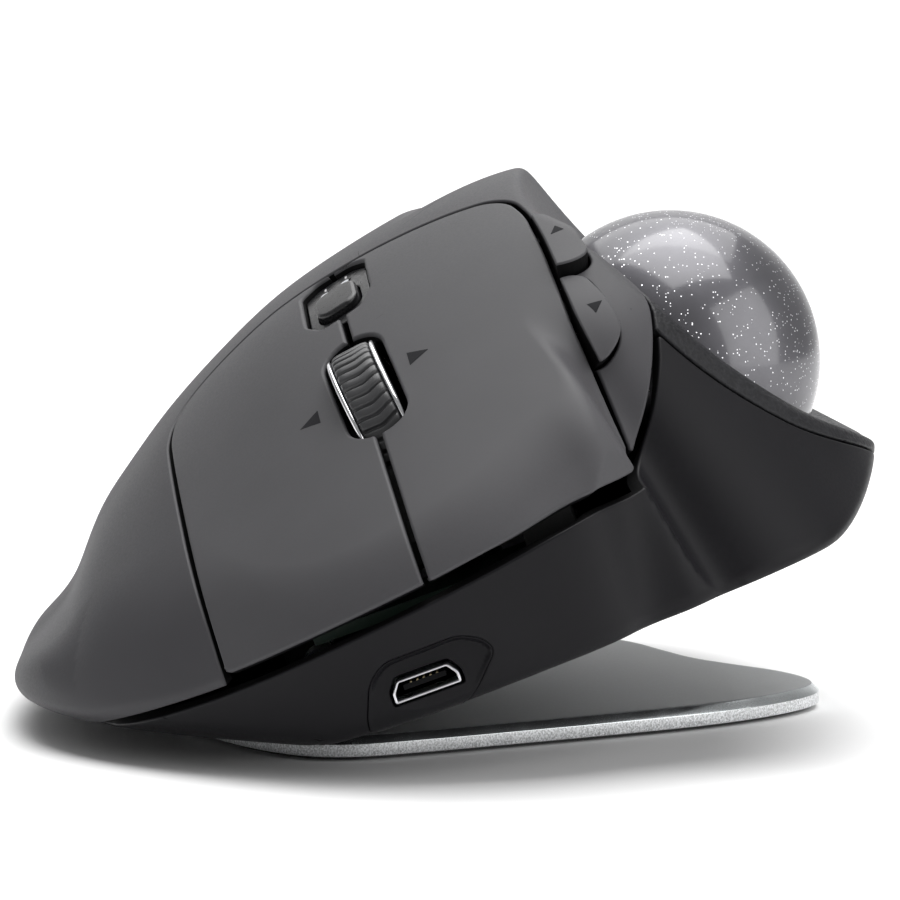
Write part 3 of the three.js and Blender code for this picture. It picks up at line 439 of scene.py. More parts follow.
def split_at(points, normals, faces, values, level, limits):
    """Divides every face that a level of the edge field crosses."""
    side = values > level
    count = side[faces].sum(1)
    mixed = (count == 1) | (count == 2)
    crossed, kept = faces[mixed], faces[~mixed]
    flags = side[crossed]
    odd = np.where(count[mixed] == 1, flags.argmax(1), (~flags).argmax(1))
    row = np.arange(len(crossed))
    a, b, c = (crossed[row, (odd + k) % 3] for k in range(3))
    unique, place = single_edges(np.concatenate([np.stack([a, b], 1), np.stack([a, c], 1)]))
    first, second = unique.T
    start, end = points[first], points[second]
    low, high = values[first], values[second]
    share = np.clip((level - low) / (high - low), 0.03, 0.97)
    found = start + (end - start) * share[:, None]
    between = unit(normals[first] + normals[second])
    found_values, _ = edge_field(found, between, limits)
    share = np.clip(share - (found_values - level) / (high - low), 0.03, 0.97)
    found = start + (end - start) * share[:, None]
    p, q = (place + len(points)).reshape(2, -1)
    made = [np.stack([a, p, q], 1), np.stack([p, b, c], 1), np.stack([p, c, q], 1)]
    points = np.concatenate([points, found])
    normals = np.concatenate([normals, surface_normals(found)])
    values = np.concatenate([values, np.full(len(found), float(level))])
    return points, normals, np.concatenate([kept, *made]), values


def border_edges(faces):
    """Edges with one face, in the direction that the face runs."""
    edges = sides_of(faces)
    _, first, count = np.unique(np.sort(edges, axis=1), axis=0, return_index=True, return_counts=True)
    return edges[first[count == 1]]


EDGE_MARGIN = 2.5  # how far past its edges a panel is worked out before it is cut
ROLL_STEPS = (0.0, 0.08, 0.3, 0.6, 1.0)  # parts of a rolled edge's width, from the edge inward


def add_object(name, data):
    obj = bpy.data.objects.new(name, data)
    bpy.context.scene.collection.objects.link(obj)
    return obj


def smooth_object(name, points, faces):
    """A mesh object in metres from lists of points and faces."""
    mesh = bpy.data.meshes.new(name)
    mesh.from_pydata(points, [], faces)
    mesh.polygons.foreach_set("use_smooth", [True] * len(faces))
    return add_object(name, mesh)


def make_object(name, points, faces, body, finish, replaced=(), corner_normals=None):
    """A mesh object in the CAD frame from points in the body's frame."""
    mesh = bpy.data.meshes.new(name)
    if isinstance(faces, np.ndarray):
        count, sides = faces.shape
        mesh.vertices.add(len(points))
        mesh.vertices.foreach_set("co", to_cad(points).ravel())
        mesh.loops.add(count * sides)
        mesh.loops.foreach_set("vertex_index", faces.ravel().astype(np.int32))
        mesh.polygons.add(count)
        mesh.polygons.foreach_set("loop_start", np.arange(0, count * sides, sides, dtype=np.int32))
        mesh.update(calc_edges=True)
    else:
        mesh.from_pydata(to_cad(points).tolist(), [], faces)
    mesh.polygons.foreach_set("use_smooth", np.ones(len(mesh.polygons), bool))
    if corner_normals is not None:
        mesh.normals_split_custom_set((corner_normals @ TURN.T).tolist())
    obj = add_object(name, mesh)
    mesh.materials.append(finish)
    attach(obj, body)
    if replaced:
        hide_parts(*replaced)
    return obj


def panel(name, limits, body, finish, replaced=(), raised=0.0, roll=0.35, depth=1.6,
          refine=0, reshape=None, gap_shade_wall_finish=None):
    """A panel of the body's surface inside its limits, with rolled edges, walls and an inner skin."""
    points, faces = SURFACE, SURFACE_FACES
    for turn in range(refine + 1):
        rough = np.min([limit(points) - gap for limit, gap in limits], axis=0)
        faces = faces[(rough[faces] > -EDGE_MARGIN).any(1)]
        used, faces = keep_used(faces)
        points, rough = points[used], rough[used]
        if turn < refine:
            points, faces = halved(points, faces)
    normals = surface_normals(points)
    values = np.full(len(points), FAR)
    near = rough < EDGE_MARGIN + 0.5 + roll
    values[near] = edge_field(points[near], normals[near], limits)[0]
    for share in ROLL_STEPS:
        level = share * roll
        points, normals, faces, values = split_at(points, normals, faces, values, level, limits)
        if level == 0:
            faces = faces[values[faces].mean(1) > 0]
            used, faces = keep_used(faces)
            points, normals, values = points[used], normals[used], values[used]
    near = values < roll
    direction = np.zeros_like(points)
    direction[near] = edge_field(points[near], normals[near], limits)[1]
    sine = np.clip((roll - values) / roll, 0, 1)
    cosine = np.sqrt(1 - sine * sine)
    drop = roll * (1 - cosine)
    base = points
    if reshape is not None:
        base, normals = reshape(points, normals)
    rise = raised(points) if callable(raised) else raised
    shown = base + normals * (rise - drop)[:, None]
    shown_normals = unit(normals * cosine[:, None] + direction * sine[:, None] + 1e-9)
    below = base + normals * (np.broadcast_to(rise, drop.shape) - depth)[:, None]
    n = len(points)
    rim = border_edges(faces)
    a, b = rim.T
    walls = np.concatenate([np.stack([b, a, a + n], 1), np.stack([b, a + n, b + n], 1)])
    corners = np.concatenate([
        shown_normals[faces].reshape(-1, 3),
        shown_normals[np.stack([b, a, a], 1)].reshape(-1, 3),
        shown_normals[np.stack([b, a, b], 1)].reshape(-1, 3),
        -normals[faces[:, ::-1]].reshape(-1, 3)])
    every = np.concatenate([faces, walls, faces[:, ::-1] + n])
    obj = make_object(name, np.concatenate([shown, below]), every, body, finish, replaced, corners)
    # A second finish on the walls is painted shade: near-black walls darken the gaps between panels.
    if gap_shade_wall_finish is not None:
        obj.data.materials.append(gap_shade_wall_finish)
        gap_shade_wall_flags = np.arange(len(every)) >= len(faces)
        obj.data.polygons.foreach_set("material_index", gap_shade_wall_flags.astype(int))


# ---- finishes ----
def add_node(tree, kind, inputs=None, **settings):
    made = tree.nodes.new(kind)
    for key, value in settings.items():
        setattr(made, key, value)
    for key, value in (inputs or {}).items():
        if isinstance(value, bpy.types.NodeSocket):
            tree.links.new(value, made.inputs[key])
        else:
            made.inputs[key].default_value = value
    return made


def worked_out(tree, operation, first, second, kind="Math"):
    """A sum, product or comparison of two values."""
    return add_node(tree, "ShaderNode" + kind, {0: first, 1: second}, operation=operation).outputs[0]


def mixed(tree, factor, first, second):
    """Two colours, each plain or from a node, mixed by a factor."""
    made = add_node(tree, "ShaderNodeMix", {"Factor": factor, "A": first, "B": second}, data_type="RGBA")
    return next(socket for socket in made.outputs if socket.type == "RGBA")


def new_finish(name, colour, roughness, metallic=0.0, **shader_values):
    """A material with its plain values set on the shader's own sockets."""
    material = bpy.data.materials.new(name)
    material.use_nodes = True
    shader = material.node_tree.nodes["Principled BSDF"]
    shader.inputs["Base Color"].default_value = (*colour, 1)
    shader.inputs["Roughness"].default_value = roughness
    shader.inputs["Metallic"].default_value = metallic
    for key, value in shader_values.items():
        shader.inputs[key.replace("_", " ")].default_value = value
    return material, material.node_tree, shader


def millimetres(tree, stretch=(1, 1, 1)):
    """Object coordinates in millimetres."""
    place = add_node(tree, "ShaderNodeTexCoord").outputs["Object"]
    return worked_out(tree, "MULTIPLY", place, tuple(1000 * s for s in stretch), "VectorMath")


def noise(tree, place, size, detail=2.0, roughness=0.5):
    """Noise whose features are about a size in millimetres."""
    return add_node(tree, "ShaderNodeTexNoise", {
        "Vector": place, "Scale": 1 / size, "Detail": detail, "Roughness": roughness}).outputs[0]


def spread(tree, value, low, high, source_low=0.3, source_high=0.7):
    return add_node(tree, "ShaderNodeMapRange", {
        "Value": value, "From Min": source_low, "From Max": source_high,
        "To Min": low, "To Max": high}).outputs[0]


def tint(tree, factor, colour, amount):
    """A colour that gets darker and lighter by an amount as the factor varies."""
    dark, light = ([c * (1 + change) for c in colour] for change in (-amount, amount))
    return mixed(tree, factor, (*dark, 1), (*light, 1))


def feed(tree, shader, colour, roughness=None, height=None, depth=0.0, strength=0.5):
    """Joins worked-out values to the shader's colour, roughness and bump."""
    tree.links.new(colour, shader.inputs["Base Color"])
    if roughness is not None:
        tree.links.new(roughness, shader.inputs["Roughness"])
    if height is not None:
        bump = add_node(tree, "ShaderNodeBump", {
            "Height": height, "Strength": strength, "Distance": depth * 0.001})
        tree.links.new(bump.outputs[0], shader.inputs["Normal"])


def moulded(name, colour, roughness, grain=0.28, depth=0.02, mottle=0.05, **shader_values):
    """Spark-textured moulded plastic: fine grain, faint cloudiness and uneven sheen."""
    material, tree, shader = new_finish(name, colour, roughness, **shader_values)
    place = millimetres(tree)
    fine = noise(tree, place, grain, 3)
    cloud = noise(tree, place, 9, 2)
    both = worked_out(tree, "ADD", fine, cloud)
    feed(tree, shader, tint(tree, spread(tree, both, 0, 1, 0.7, 1.3), colour, mottle),
         spread(tree, fine, roughness - 0.05, roughness + 0.06), fine, depth)
    return material


def grained_leather(name, colour, roughness):
    """Soft-touch plastic moulded with a small pebbled grain."""
    material, tree, shader = new_finish(name, colour, roughness, Specular_IOR_Level=0.2)
    place = millimetres(tree)
    cells = add_node(tree, "ShaderNodeTexVoronoi", {"Vector": place, "Scale": 1 / 0.55})
    fine = noise(tree, place, 0.3, 3)
    height = worked_out(tree, "MULTIPLY", cells.outputs["Distance"], fine)
    feed(tree, shader, tint(tree, spread(tree, height, 0, 1, 0.1, 0.4), colour, 0.22),
         spread(tree, fine, roughness - 0.1, roughness + 0.1), height, 0.12, 0.7)
    return material


def speckled_paint(name, colour, roughness):
    """Metallic paint with a coarse sparkle over a fine orange-peel surface."""
    material, tree, shader = new_finish(name, colour, roughness, 0.35)
    place = millimetres(tree)
    speck = noise(tree, place, 0.22, 1, 0.7)
    peel = noise(tree, place, 0.7, 2)
    feed(tree, shader, tint(tree, spread(tree, speck, 0, 1, 0.32, 0.68), colour, 0.38),
         spread(tree, speck, roughness - 0.1, roughness + 0.12), peel, 0.03, 0.4)
    return material


def worked_metal(name, colour, roughness, stretch=(1, 1, 1), size=0.2, depth=0.004):
    """Bare metal with fine working marks along one direction."""
    material, tree, shader = new_finish(name, colour, roughness, 1.0)
    place = millimetres(tree, stretch)
    marks = noise(tree, place, size, 3)
    smudge = noise(tree, millimetres(tree), 4, 2)
    feed(tree, shader, tint(tree, spread(tree, marks, 0, 1), colour, 0.08),
         spread(tree, smudge, max(roughness - 0.06, 0.03), roughness + 0.08), marks, depth, 0.3)
    return material


FLAKE_SIZE, FLAKE_LEAN = 0.24, 0.7


def flaked_gloss(name, colour):
    """Clear gloss over dark pigment full of small silver flakes, each tilted its own way."""
    material, tree, shader = new_finish(
        name, colour, 0.4, 0.7, Coat_Weight=0.8, Coat_Roughness=0.12, Coat_IOR=1.55)
    shader.inputs["Specular Tint"].default_value = (0.3, 0.3, 0.32, 1)
    place = millimetres(tree)
    flake = add_node(tree, "ShaderNodeTexVoronoi", {"Vector": place, "Scale": 1 / FLAKE_SIZE})
    lot = add_node(tree, "ShaderNodeSeparateColor", {0: flake.outputs["Color"]})
    patches = spread(tree, noise(tree, place, 7, 2), 0.0, 0.1, 0.35, 0.65)
    limit = worked_out(tree, "SUBTRACT", 0.96, patches)
    chosen = worked_out(tree, "GREATER_THAN", lot.outputs[0], limit)
    small = worked_out(tree, "LESS_THAN", flake.outputs["Distance"], 0.34)
    shown = worked_out(tree, "MULTIPLY", chosen, small)
    ground = tint(tree, spread(tree, noise(tree, place, 2.2, 3), 0.0, 1.0), colour, 0.05)
    feed(tree, shader, mixed(tree, shown, ground, (0.95, 0.95, 0.98, 1)))
    normal = add_node(tree, "ShaderNodeNewGeometry").outputs["Normal"]
    away = worked_out(tree, "SUBTRACT", flake.outputs["Color"], (0.5, 0.5, 0.5), "VectorMath")
    amount = worked_out(tree, "MULTIPLY", shown, FLAKE_LEAN)
    lean = add_node(tree, "ShaderNodeVectorMath", {0: away, "Scale": amount}, operation="SCALE")
    tipped = worked_out(tree, "ADD", normal, lean.outputs[0], "VectorMath")
    straight = add_node(tree, "ShaderNodeVectorMath", {0: tipped}, operation="NORMALIZE")
    tree.links.new(straight.outputs[0], shader.inputs["Normal"])
    return material


def soft_white(name, colour):
    """Frosted clear plastic of the small indicator lights and the lens."""
    material, tree, shader = new_finish(name, colour, 0.35, Transmission_Weight=0.3)
    fine = noise(tree, millimetres(tree), 0.2, 2)
    feed(tree, shader, tint(tree, fine, colour, 0.08), None, fine, 0.01, 0.3)
    return material


def circuit(name):
    """Nearly black green solder mask with paler tracks."""
    material, tree, shader = new_finish(name, (0.003, 0.012, 0.007), 0.45)
    place = millimetres(tree)
    bricks = add_node(tree, "ShaderNodeTexBrick", {
        "Vector": place, "Scale": 0.5, "Mortar Size": 0.08,
        "Color1": (0.003, 0.012, 0.007, 1), "Color2": (0.002, 0.009, 0.005, 1),
        "Mortar": (0.006, 0.03, 0.016, 1)})
    feed(tree, shader, bricks.outputs["Color"], None, bricks.outputs["Fac"], 0.03, 0.4)
    return material


BUTTON_COLOUR = (0.062, 0.061, 0.065)
SHELL_COLOUR = (0.05, 0.049, 0.053)
# Lower shell colour: a darker plastic than the top, made darker still as painted shade for its front and
# underside, which face away from the lamps.
LOWER_TONE_AND_SHADE_COLOUR = (0.0062, 0.0059, 0.0072)
button_finish = moulded("button_plastic", BUTTON_COLOUR, 0.52, depth=0.01, Specular_IOR_Level=0.2)
shell_finish = moulded("shell_plastic", SHELL_COLOUR, 0.52, depth=0.012, Specular_IOR_Level=0.2)
lower_shell_and_shade_finish = moulded("lower_plastic", LOWER_TONE_AND_SHADE_COLOUR, 0.44, depth=0.012, mottle=0.08,
                       Specular_IOR_Level=0.14)
cover_finish = grained_leather("thumb_plastic", (0.011, 0.011, 0.0125), 0.45)
# Near-black plastic of the inner parts; on the walls of the outer panels it is painted shade in their gaps.
inner_and_gap_shade_finish = moulded("inner_plastic", (0.003, 0.003, 0.0033), 0.6, depth=0.01, Specular_IOR_Level=0.1)
gloss_finish = moulded("panel_plastic", (0.009, 0.009, 0.01), 0.3, depth=0.001, mottle=0.02)
side_finish = moulded("side_button_plastic", BUTTON_COLOUR, 0.5, depth=0.01, Specular_IOR_Level=0.2)
print_finish = moulded("print_ink", (0.016, 0.016, 0.018), 0.6, grain=0.15, depth=0.004,
                       Specular_IOR_Level=0.05)
light_print_finish = moulded("pale_print_ink", (0.45, 0.45, 0.46), 0.5, grain=0.15, depth=0.006)
rubber_finish = moulded("rubber", (0.014, 0.014, 0.015), 0.5, grain=0.2, depth=0.02)
tyre_finish = moulded("tyre_rubber", (0.035, 0.035, 0.037), 0.36, grain=0.16, depth=0.004)
plate_finish = speckled_paint("plate_metal", (0.2, 0.21, 0.215), 0.42)
# A paler copy of the plate's paint for its sides: painted light.
painted_light_plate_wall_finish = speckled_paint("plate_side_painted_light", (0.66, 0.67, 0.68), 0.5)
edge_finish = worked_metal("polished_edge", (0.62, 0.65, 0.66), 0.2, (1, 1, 6), 0.3)
chrome_finish = worked_metal("chrome", (0.8, 0.8, 0.82), 0.08, (1, 1, 1), 0.6, 0.001)
steel_finish = worked_metal("steel", (0.58, 0.58, 0.6), 0.3, (1, 8, 1), 0.3)
foil_finish = worked_metal("foil", (0.55, 0.56, 0.58), 0.35, (1, 1, 1), 1.6, 0.08)
ball_finish = flaked_gloss("ball_gloss", (0.1, 0.098, 0.108))
ceramic_finish = moulded("ceramic", (0.8, 0.78, 0.74), 0.2, depth=0.001, mottle=0.02)
clear_finish = soft_white("clear_plastic", (0.75, 0.77, 0.8))
board_finish = circuit("circuit_board")
contact_finish = worked_metal("contact_metal", (0.6, 0.5, 0.3), 0.35)
switch_finish = moulded("switch_plastic", (0.004, 0.004, 0.0045), 0.5, depth=0.006)

KEYS = ("left", "right", "forward", "back", "precision", "pairing")
CARRIED = {
    inner_and_gap_shade_finish: ["button_frame", "ball_cup", "wheel_hub", "wheel_fork", "usb_tongue", "power_slider"],
    shell_finish: ["wheel_cradle"],
    rubber_finish: ["sole_pad"],
    steel_finish: ["hinge_lug_front", "hinge_lug_rear", "hinge_pin", "magnet_1", "magnet_2",
                   *(f"screw_{i}" for i in range(1, 5))],
    board_finish: ["main_board", "button_board"],
    switch_finish: ["optical_sensor", "wheel_encoder", "wheel_click_switch", "power_switch",
                    *(f"switch_{key}" for key in KEYS)],
    ceramic_finish: ["bearing_1", "bearing_2", "bearing_3"],
    foil_finish: ["battery"],
    clear_finish: ["pairing_light_1", "pairing_light_2", "sensor_lens"],
}
for finish, names in CARRIED.items():
    for name in names:
        nodes[name].data.materials.clear()
        nodes[name].data.materials.append(finish)


# ---- plans and places ----
def stadium(length, width, steps=16):
    points = []
    for end in (1, -1):
        for i in range(steps + 1):
            angle = (i / steps - 0.5) * math.pi + (0 if end > 0 else math.pi)
            x = end * (length - width) / 2 + math.cos(angle) * width / 2
            points.append((x, math.sin(angle) * width / 2))
    return np.array(points)


def basis_of(z_axis, x_hint):
    z = unit(z_axis)
    y = unit(np.cross(z, x_hint))
    return np.stack([np.cross(y, z), y, z], 1)


def place_on_body(start, direction, along):
    """Origin on the body's surface and axes square to a direction."""
    direction = unit(direction)
    low, high = 0.0, 40.0
    for _ in range(30):
        half = (low + high) / 2
        if body_distance((np.array(start) + direction * half)[None])[0] < 0:
            low = half
        else:
            high = half
    return np.array(start) + direction * low, basis_of(direction, along)


wheel_axis = np.array([math.cos(WHEEL_LEAN), 0, math.sin(WHEEL_LEAN)])
wheel_normal = np.array([
    -math.sin(WHEEL_LEAN) * math.cos(WHEEL_SLOPE), -math.sin(WHEEL_SLOPE),
    math.cos(WHEEL_LEAN) * math.cos(WHEEL_SLOPE)])
wheel_basis = basis_of(wheel_normal, wheel_axis)

button_plan = rounded([
    (-7.2, -60), (42.4, -60), (42.2, -31), (41, -24), (40.6, -10), (39.9, -1), (38.6, 4),
    (36, 6.6), (30, 8.4), (20, 11), (8, 13), (0, 13.4), (-4, 12), (-6.6, 8), (-7.4, 2), (-7.3, -21)], 2.2)
panel_plan = rounded([
    (12.3, -1.2), (13.9, -4.2), (18.6, -4), (20.2, -1), (20.2, 8.6), (18.4, 10.6),
    (14.2, 10.9), (12.3, 9.2)], 0.6)
pairing_plan = rounded([
    (13.6, -0.8), (14.6, -1.9), (17.8, -1.9), (18.8, -0.8), (18.8, 3.4), (17.8, 4.4),
    (14.6, 4.4), (13.6, 3.4)], 0.8)
in_buttons = within(button_plan)
in_slot = within(stadium(20.6, 7.4)[:, ::-1], (WHEEL_CENTRE, wheel_basis))
in_panel = within(panel_plan)
side_direction = (0.62, -0.2, 0.76)
forward_place = place_on_body((35.9, -7.6, 34.3), side_direction, (0.1, -0.86, -0.5))
back_place = place_on_body((37.3, -20.2, 27.6), side_direction, (0.12, -0.68, -0.72))
precision_place = place_on_body((40, 24, 27.5), (0.94, 0.05, 0.34), (0, 1, 0))
USB_RECESS = [
    (5.6, 1.2), (7.4, 5.6), (9.6, 7.4), (18.2, 7.6), (20.6, 6.2), (21.4, 4.6), (18, 1), (12, -2.4), (6, -3)]
usb_recess = rounded(USB_RECESS, 1.2)
USB_PORT = np.array([
    (-3.75, -1.15), (3.75, -1.15), (3.75, 0), (2.85, 1.25), (-2.85, 1.25), (-3.75, 0)])


def grown(plan, distance):
    """A plan with every side moved out by a distance."""
    made = []
    for i, corner in enumerate(plan):
        before, after = unit(corner - plan[i - 1]), unit(plan[(i + 1) % len(plan)] - corner)
        out_a, out_b = np.array([before[1], -before[0]]), np.array([after[1], -after[0]])
        made.append(corner + (out_a + out_b) * distance / (1 + out_a @ out_b))
    return np.array(made)


def high_up(points):
    return points[:, 2] > 9


def at_front(points):
    return points[:, 1] < -38


def thumb_side(points):
    return (points[:, 0] > 20) & (points[:, 2] > 9)


def underneath(points):
    return points[:, 2] < bottom_height(points[:, 0], points[:, 1]) + 2.5


FORWARD_LENGTH, BACK_LENGTH, SIDE_WIDTH = 15.4, 12.6, 5.2
in_forward = only_on(within(stadium(FORWARD_LENGTH, SIDE_WIDTH), forward_place), thumb_side)
in_back = only_on(within(stadium(BACK_LENGTH, SIDE_WIDTH), back_place), thumb_side)
in_precision = only_on(within(stadium(8.2, 6.4), precision_place), thumb_side)
in_usb_recess = only_where(outside(within(usb_recess, axes=(0, 2))), at_front)


def split_limit(sign):
    start, end = np.array([17.25, -60.0]), np.array([16.1, 20.0])
    line = unit(end - start)
    across = np.array([line[1], -line[0]])
    return lambda points: sign * ((points[:, :2] - start) @ across)


# ---- outer panels ----
def main_button(name, sign):
    panel(f"{name}_button_cover", [
        (only_where(in_buttons, high_up), BUTTON_GAP / 2), (split_limit(sign), SPLIT_GAP / 2),
        (lambda points: above_seam(points) - BUTTON_LIFT, 0), (outside(in_slot), 0),
        (outside(in_panel), 0.2)], f"{name}_key", button_finish, [f"{name}_button"], roll=0.42,
        depth=1.2, gap_shade_wall_finish=inner_and_gap_shade_finish)


main_button("left", 1)
main_button("right", -1)
panel("top_cover", [
    (outside(in_buttons), BUTTON_GAP / 2), (above_seam, SEAM / 2), (outside(in_forward), 0.25),
    (outside(in_back), 0.25), (out_of_ball, 0), (outside(in_panel), 0.2)],
    "housing", shell_finish, ["top_shell"], roll=0.3, gap_shade_wall_finish=inner_and_gap_shade_finish)


def box_plan(x0, x1, y0, y1):
    return np.array([(x0, y0), (x1, y0), (x1, y1), (x0, y1)], float)


def underside_holes():
    """Openings for the hinge lugs, the power slider, the case screws and the ball's push-out hole."""
    plans = [box_plan(-3.5, 3.5, y - 0.4, y + 5.4) for y in (6, 40)]
    plans.append(box_plan(45.8, 54.2, -19.2, -14.8))
    plans += [stadium(4.21, 4.2) + place for place in ((4.8, -33), (38, -27), (36, 40), (7, 70))]
    plans.append(stadium(3.61, 3.6) + (BALL[0], 0))
    return [(only_where(outside(within(plan)), underneath), 0) for plan in plans]


def under_lower_seam(points):
    """Below the seam, and lower still at the front, where the main buttons need room to go down."""
    front = smooth_step((FRONT_GAP_START - points[:, 1]) / 6.0)
    return -above_seam(points) - FRONT_GAP * front


panel("lower_cover", [
    (under_lower_seam, SEAM / 2), (outside(in_cover), SEAM), (out_of_ball, 0),
    (in_usb_recess, 0), *underside_holes()],
    "housing", lower_shell_and_shade_finish, ["lower_shell"], roll=0.3, gap_shade_wall_finish=inner_and_gap_shade_finish)
panel("thumb_rest", [
    (outside(above_seam), SEAM / 2), (in_cover, 0), (out_of_ball, 0),
    (outside(in_precision), 0.25)], "housing", cover_finish, ["thumb_cover"], roll=0.3)


# ---- charging port ----
def into_usb_recess(points, normals, ramp=0.7, step=0.01):
    """Moves points inside the recess back to its flat floor, and turns their normals."""
    def shift(places):
        inside = plan_distance(usb_recess, places[:, (0, 2)])
        return np.maximum(USB_FLOOR - places[:, 1], 0) * smooth_step((inside + 0.05) / ramp)
    slopes = [shift(points + axis) - shift(points - axis) for axis in np.eye(3) * step]
    slopes = np.stack(slopes, 1) / (2 * step)
    moved = points.copy()
    moved[:, 1] += shift(points)
    share = normals[:, 1] / np.maximum(1 + slopes[:, 1], 0.2)
    return moved, unit(normals - slopes * share[:, None])


port_plan = rounded(grown(USB_PORT, 0.35), 0.4) + USB_CENTRE
panel("usb_recess_floor", [
    (only_on(within(usb_recess, axes=(0, 2)), at_front), 0.04),
    (only_where(outside(within(port_plan, axes=(0, 2))), at_front), 0)],
    "housing", lower_shell_and_shade_finish, roll=0.12, depth=1.1, refine=1, reshape=into_usb_recess)


def loft(name, loops, body, finish, replaced=()):
    """A surface through loops of points, joined back to the first loop to close it."""
    loops = np.asarray(loops, float)
    count, n = loops.shape[:2]
    i, j = np.arange(n), (np.arange(n) + 1) % n
    faces = []
    for k in range(count):
        a, b = k * n, ((k + 1) % count) * n
        faces.append(np.stack([a + i, a + j, b + j, b + i], 1))
    make_object(name, loops.reshape(-1, 3), np.concatenate(faces), body, finish, replaced)


def port_loop(growth, y):
    plan = grown(rounded(USB_PORT, 0.3, 5), growth) + USB_CENTRE
    return np.stack([plan[:, 0], np.full(len(plan), y), plan[:, 1]], 1)


RIM_LOOPS = [(-0.3, -42.2), (-0.3, -45.86), (-0.27, -45.95), (-0.2, -46), (-0.1, -46), (-0.03, -45.95),
             (0, -45.86), (0, -40.2)]
loft("usb_port_rim", [port_loop(growth, y) for growth, y in RIM_LOOPS],
     "housing", steel_finish, ["usb_shell"])


def usb_contacts():
    """Five narrow contacts lying on the tongue of the port."""
    points, faces = [], []
    section = [(-0.13, 0), (-0.13, 0.06), (-0.07, 0.1), (0.07, 0.1), (0.13, 0.06), (0.13, 0)]
    n = len(section)
    for i in range(5):
        x, z = USB_CENTRE[0] + (i - 2) * 0.75, USB_CENTRE[1] + 0.5
        start = len(points)
        for y in (-45.1, -42.4):
            points += [(x + dx, y, z + dz) for dx, dz in section]
        faces += [(start + k, start + (k + 1) % n, start + n + (k + 1) % n, start + n + k) for k in range(n)]
        faces += [tuple(start + k for k in reversed(range(n))), tuple(start + n + k for k in range(n))]
    make_object("usb_contacts", points, faces, "housing", contact_finish)


usb_contacts()


# ---- side, precision and pairing buttons ----
def proud_to_front(place, length):
    """Height over the shell, small at the rear end of a side button and large at its front end."""
    origin, axes = place
    low, rise = 0.4, 1.4
    return lambda points: low + rise * np.clip((points - origin) @ axes[:, 0] / length + 0.5, 0, 1)


SIDE_BUTTONS = {
    "forward": (in_forward, forward_place, proud_to_front(forward_place, FORWARD_LENGTH)),
    "back": (in_back, back_place, proud_to_front(back_place, BACK_LENGTH)),
}
for name, (inside, place, height) in SIDE_BUTTONS.items():
    panel(f"{name}_button_cap", [
        (inside, 0.1), (only_where(outside(in_buttons), high_up), BUTTON_GAP / 2), (out_of_ball, 0.3)],
        f"{name}_key", side_finish, [f"{name}_button"], raised=height, roll=0.25, depth=3.2, refine=1,
        gap_shade_wall_finish=inner_and_gap_shade_finish)
panel("precision_button_cap", [(in_precision, 0)], "precision_key", side_finish,
      ["precision_button"], raised=0.5, roll=0.4, depth=2.2, refine=1)

light_holes = [(outside(within(stadium(1.11, 1.1) + place)), 0) for place in ((14.9, 7.6), (17.6, 7.6))]
panel("pairing_surround", [
    (only_on(in_panel, high_up), 0), (outside(within(pairing_plan)), 0.2), *light_holes],
    "housing", gloss_finish, ["pairing_panel"], raised=-0.9, roll=0.15, depth=1.4, refine=1)
panel("pairing_button_cap", [(only_on(within(pairing_plan), high_up), 0)],
      "pairing_key", gloss_finish, ["pairing_button"], raised=0.15, roll=0.5, depth=2.4, refine=1)


# ---- printed marks ----
INK_HEIGHT = 0.03


def mark(name, corners, place, body, raised, finish, axes=None):
    """A thin printed shape that follows the surface it is on."""
    if axes is None:
        plan = np.array(corners) + place[:2]
        inside = only_on(within(plan), high_up)
    else:
        inside = only_on(within(np.array(corners, float), (place, axes)), thumb_side)
    height = (lambda points: raised(points) + INK_HEIGHT) if callable(raised) else raised + INK_HEIGHT
    panel(name, [(inside, 0)], body, finish, raised=height, roll=0.01, depth=0.05, refine=2)


for side, sign, place, key in (("left", -1, (9.8, -20.3), "right"), ("right", 1, (23.6, -19.6), "left")):
    arrow = [(-1.2 * sign, 1.15 * sign), (-1.2 * sign, -1.15 * sign), (1.25 * sign, 0)]
    mark(f"arrow_{side}_mark", arrow, place, f"{key}_key", 0, print_finish)
for name, sign, corners in (("forward", -1, [(0.6, -0.85), (0.3, 0.5), (-1.4, 0.1)]),
                            ("back", 1, [(-0.42, 0.71), (-0.6, -0.8), (0.93, -0.5)])):
    _, (origin, axes), height = SIDE_BUTTONS[name]
    place = origin + axes @ np.array([0.3 + 0.8 * sign, 1.2, 0])
    mark(f"{name}_mark", corners, place, f"{name}_key", height, print_finish, axes)
for i, x in enumerate((14.9, 17.6)):
    bar = [(-0.12, -0.55), (0.12, -0.55), (0.12, 0.55), (-0.12, 0.55)]
    mark(f"channel_mark_{i + 1}", bar, (x, 9.25), "housing", -0.9, light_print_finish)


# ---- scroll wheel ----
RIBS, RIB_STEPS, TYRE_HALF, BORE = 50, 14, 2.35, 8.7


def wheel_ring(x, radius, angles):
    """A ring round the wheel's axle, at a place along it."""
    radius = np.broadcast_to(radius, angles.shape)
    local = np.stack([np.full(len(angles), x), radius * np.sin(angles), radius * np.cos(angles)], 1)
    return local @ wheel_basis.T + WHEEL_CENTRE


def soft_ramp(x, width=0.35):
    return 0.5 * (x + np.sqrt(x * x + width * width))


